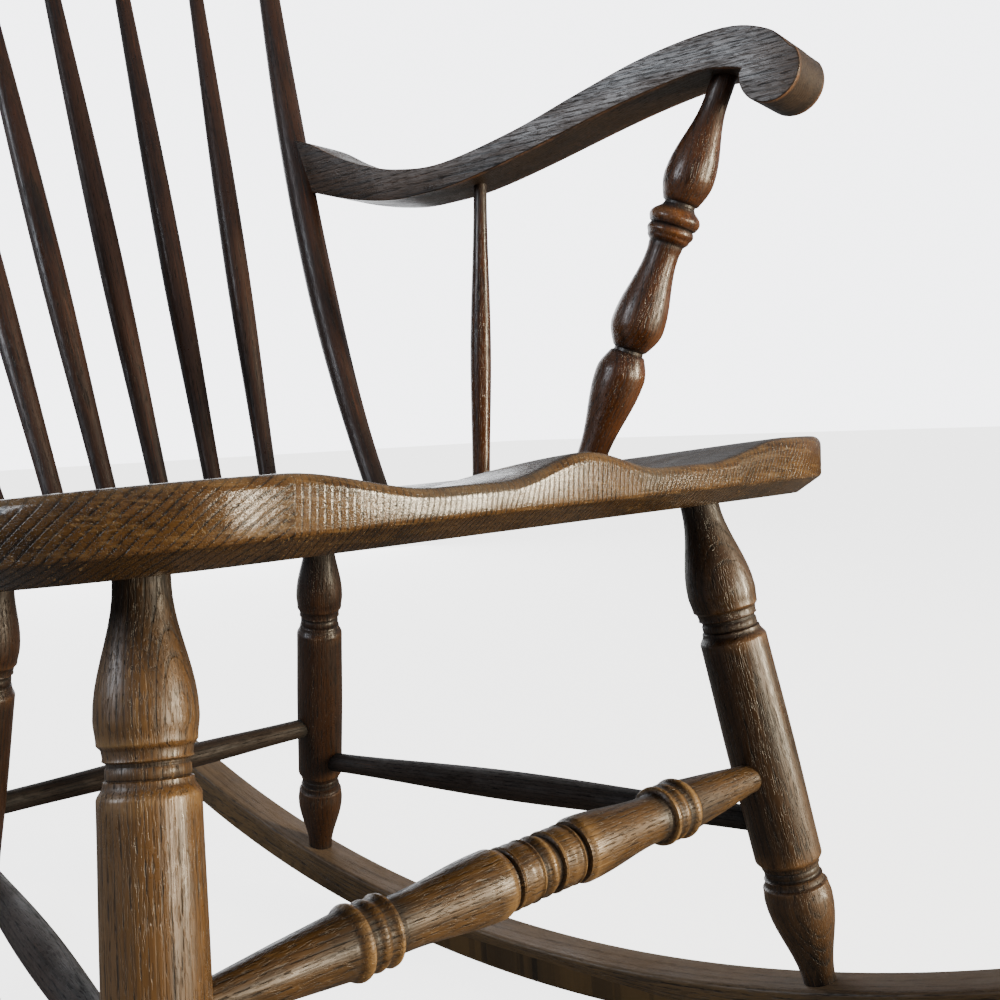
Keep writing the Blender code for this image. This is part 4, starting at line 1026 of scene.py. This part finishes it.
def oak(name, light, dark, bare, ring_width=0.0030, ring_strength=0.45, streaks=0.5, rub=0.5, nicks=0.4,
        gloss=0.34, spread=0.16, coat=0.25, bump=0.00035, scratch=0.3, dust=0.0, dust_colour=(110, 98, 80),
        steepest=0.55, sat_on=None, rays=0.0, boards=()):
    """One stained and varnished oak; every surface effect is laid over the figure in turn."""
    made = bpy.data.materials.new(name)
    made.use_nodes = True
    tree = made.node_tree
    shader = tree.nodes["Principled BSDF"]
    grain = put(tree, "ShaderNodeAttribute", {"attribute_name": "grain"}).outputs["Vector"]
    if boards:
        grain = glued_boards(tree, grain, boards)
    figure = place_effect(tree, "oak_figure", Grain=grain, Light=rgb(*light), Dark=rgb(*dark),
                          Pore=rgb(*(c * 0.28 for c in dark)), Ring_Width=ring_width,
                          Ring_Strength=ring_strength, Streaks=streaks)
    use = place_effect(tree, "years_of_use", Grain=grain, Colour=figure["Colour"],
                       Rubbed=mask_of(tree, "rubbed"), Grimy=mask_of(tree, "dirt_and_shade"), Bare=rgb(*bare),
                       Rub_Strength=rub, Nicks=nicks)
    colour = use["Colour"]
    if rays > 0.0:
        sawn_end = span(tree, maths(tree, "MULTIPLY", surface_normal(tree)[1], -1.0), 0.45, 0.85)
        lines = noise(tree, stretched(tree, grain, (0.05, 1.0, 0.4)), 620.0, 2.0, 0.55)
        lines = maths(tree, "MULTIPLY", span(tree, lines, 0.52, 0.64), sawn_end)
        colour = blend(tree, maths(tree, "MULTIPLY", lines, rays), colour, rgb(*bare))
    if sat_on is not None:
        patches = span(tree, noise(tree, grain, 26.0, 4.0, 0.6), 0.30, 0.62)
        worn = maths(tree, "MULTIPLY", mask_of(tree, "sat_on"), patches, clamp=True)
        colour = blend(tree, maths(tree, "MULTIPLY", worn, 0.55), colour, rgb(*sat_on))
    scuffed = place_effect(tree, "scuffs", Grain=grain, Amount=scratch)
    colour = blend(tree, scuffed["Mask"], colour, rgb(*bare))
    varnish = place_effect(tree, "old_varnish", Grain=grain, Pores=figure["Pores"], Wax=use["Wax"],
                           Gloss=gloss, Spread=spread)
    rough = varnish["Roughness"]
    if dust > 0.0:
        dusty = place_effect(tree, "settled_dust", Grain=grain, Colour=colour, Dust=rgb(*dust_colour),
                             Amount=dust, Steepest=steepest)
        colour = dusty["Colour"]
        rough = maths(tree, "MULTIPLY_ADD", dusty["Dusty"], 0.4, rough, clamp=True)
    height = maths(tree, "ADD", figure["Height"], use["Height"])
    height = maths(tree, "ADD", height, maths(tree, "ADD", varnish["Height"], scuffed["Height"]))
    relief = put(tree, "ShaderNodeBump", Strength=0.75, Distance=bump, Height=height)
    tree.links.new(colour, shader.inputs["Base Color"])
    tree.links.new(rough, shader.inputs["Roughness"])
    tree.links.new(relief.outputs[0], shader.inputs["Normal"])
    tree.links.new(varnish["Coat"], shader.inputs["Coat Weight"])
    shader.inputs["Coat Roughness"].default_value = coat
    shader.inputs["Specular IOR Level"].default_value = 0.5
    return made


def aged_steel():
    """Browned screw heads with a little rust."""
    made = bpy.data.materials.new("browned steel")
    made.use_nodes = True
    tree = made.node_tree
    shader = tree.nodes["Principled BSDF"]
    grain = put(tree, "ShaderNodeAttribute", {"attribute_name": "grain"}).outputs["Vector"]
    patches = noise(tree, grain, 900.0, 4.0, 0.65)
    rust = span(tree, patches, 0.46, 0.62)
    tree.links.new(blend(tree, rust, rgb(96, 88, 78), rgb(52, 30, 18)), shader.inputs["Base Color"])
    tree.links.new(span(tree, patches, 0.46, 0.62, 0.95, 0.15), shader.inputs["Metallic"])
    tree.links.new(span(tree, patches, 0.35, 0.65, 0.32, 0.75), shader.inputs["Roughness"])
    relief = put(tree, "ShaderNodeBump", Strength=0.6, Distance=0.0001, Height=patches)
    tree.links.new(relief.outputs[0], shader.inputs["Normal"])
    return made


# --- the chair ------------------------------------------------------------------------
# colours are (light, dark, rubbed bare)
LEG_OAK = oak("front leg oak", (106, 76, 41), (42, 27, 13), (182, 144, 94), bump=0.0008, streaks=0.4)
# painted shade: the sitter's left front leg gets a darker copy of the front leg oak
SHADED_FRONT_LEG_OAK = oak("front leg oak darkened as painted shade", (76, 52, 28), (30, 19, 10), (150, 112, 72), bump=0.0006,
                     streaks=0.4)
# painted shadow: the rear legs are darkened for the shadow under the seat
SHADED_REAR_LEG_OAK = oak("rear leg oak darkened as painted shadow", (62, 37, 18), (24, 13, 7), (120, 84, 50), bump=0.0007, streaks=0.4)
STRETCHER_OAK = oak("front stretcher oak", (96, 70, 38), (42, 27, 14), (196, 156, 102), bump=0.0006)
PLAIN_OAK = oak("plain stretcher oak", (40, 24, 12), (16, 10, 6), (96, 66, 40), bump=0.0006, gloss=0.66,
                coat=0.6)
BACK_OAK = oak("back oak", (62, 40, 30), (26, 15, 13), (124, 74, 50), rub=0.35, nicks=0.2, gloss=0.36)
ARM_OAK = oak("arm oak", (84, 64, 48), (34, 26, 21), (150, 106, 74), dust=0.2, steepest=0.75, gloss=0.30,
              rub=0.9, bump=0.0006)
ARM_TURNED_OAK = oak("arm turning oak", (88, 50, 22), (34, 17, 8), (156, 104, 60), gloss=0.25, bump=0.0004)
SEAT_OAK = oak("seat oak", (96, 68, 36), (34, 22, 12), (168, 136, 92), ring_width=0.0032,
               ring_strength=0.85, dust=0.2, sat_on=(106, 97, 84), scratch=0.5, steepest=0.8, gloss=0.11,
               spread=0.07, coat=0.16, bump=0.0004, rays=0.20,
               boards=((0.118, (-0.31, 0.02, 0.6)), (-0.166, (0.71, 0.05, 0.9))))
ROCKER_OAK = oak("rocker oak", (104, 80, 48), (48, 36, 21), (140, 112, 78), dust=0.85,
                 dust_colour=(128, 106, 84), gloss=0.44, steepest=0.5)

make_legs({("front", "right"): LEG_OAK, ("front", "left"): SHADED_FRONT_LEG_OAK,
           ("rear", "right"): SHADED_REAR_LEG_OAK, ("rear", "left"): SHADED_REAR_LEG_OAK})
make_stretchers(STRETCHER_OAK, PLAIN_OAK)
make_back_spindles(BACK_OAK)
make_arm_turnings(ARM_TURNED_OAK)
make_seat(SEAT_OAK)
make_rockers(ROCKER_OAK)
make_arms(ARM_OAK)
make_posts(BACK_OAK)
make_crest(BACK_OAK)
make_screws(aged_steel())


# --- the studio --------------------------------------------------------------------------
def studio_floor():
    clear_bench()
    bpy.ops.mesh.primitive_plane_add(size=40.0, location=(0.0, 0.0, -0.0005))
    floor = bpy.context.object
    floor.name = "studio_floor"
    made = bpy.data.materials.new("pale floor")
    made.use_nodes = True
    tree = made.node_tree
    shader = tree.nodes["Principled BSDF"]
    seen = put(tree, "ShaderNodeLightPath").outputs["Is Camera Ray"]
    bounced, plain = (0.26, 0.25, 0.24, 1.0), (0.85, 0.85, 0.85, 1.0)
    tree.links.new(blend(tree, seen, bounced, plain), shader.inputs["Base Color"])
    shader.inputs["Roughness"].default_value = 0.9
    shader.inputs["Emission Color"].default_value = (1.0, 1.0, 1.0, 1.0)
    tree.links.new(maths(tree, "MULTIPLY", seen, 3.4), shader.inputs["Emission Strength"])
    floor.data.materials.append(made)


def studio_light(name, place, aim, width, height, power, colour):
    data = bpy.data.lights.new(name, "AREA")
    data.shape = "RECTANGLE"
    data.size, data.size_y = width, height
    data.energy = power
    data.color = colour
    lamp = bpy.data.objects.new(name, data)
    bpy.context.scene.collection.objects.link(lamp)
    lamp.location = place
    lamp.rotation_euler = (Vector(aim) - Vector(place)).to_track_quat("-Z", "Y").to_euler()


def studio_air():
    """White behind the chair, and a quiet fill for everything else."""
    world = bpy.data.worlds.new("studio air")
    bpy.context.scene.world = world
    world.use_nodes = True
    tree = world.node_tree
    background = tree.nodes["Background"]
    path = put(tree, "ShaderNodeLightPath").outputs
    background.inputs["Color"].default_value = (0.95, 0.96, 1.0, 1.0)
    strength = maths(tree, "MULTIPLY_ADD", path["Is Glossy Ray"], 0.26, 0.045)
    strength = maths(tree, "MULTIPLY_ADD", path["Is Camera Ray"], 5.0, strength)
    tree.links.new(strength, background.inputs["Strength"])


def studio_camera():
    """Low and close, by the sitter's right front leg."""
    yaw, pitch, roll = (math.radians(a) for a in (-40.4576, 4.1726, -2.5917))
    back = Vector((math.sin(yaw) * math.cos(pitch), -math.cos(yaw) * math.cos(pitch), math.sin(pitch)))
    right = Vector((math.cos(yaw), math.sin(yaw), 0.0))
    up = right.cross(-back)
    side = right * math.cos(roll) + up * math.sin(roll)
    top = -right * math.sin(roll) + up * math.cos(roll)
    data = bpy.data.cameras.new("camera")
    data.sensor_width = 36.0
    data.lens = 39.98
    data.shift_x, data.shift_y = 0.0635, 0.0089
    data.clip_start = 0.02
    camera = bpy.data.objects.new("camera", data)
    bpy.context.scene.collection.objects.link(camera)
    turned = Matrix((side, top, back)).transposed().to_4x4()
    camera.matrix_world = Matrix.Translation((-0.3929, -0.6479, 0.4228)) @ turned
    bpy.context.scene.camera = camera


studio_floor()
studio_light("warm key", (1.41, -1.89, 0.53), (0.0, 0.0, 0.42), 0.18, 0.98, 68.0, (1.0, 0.86, 0.62))
studio_light("warm strip", (0.50, -2.39, 0.40), (-0.1, -0.3, 0.40), 0.12, 0.80, 27.0, (1.0, 0.86, 0.64))
studio_light("cool fill", (-2.15, 0.45, 1.42), (0.0, 0.0, 0.55), 1.2, 1.2, 36.0, (0.84, 0.91, 1.0))
studio_light("low back", (1.1, 2.7, 0.95), (0.0, 0.0, 0.45), 2.2, 2.0, 42.0, (0.95, 0.97, 1.0))
studio_air()
studio_camera()
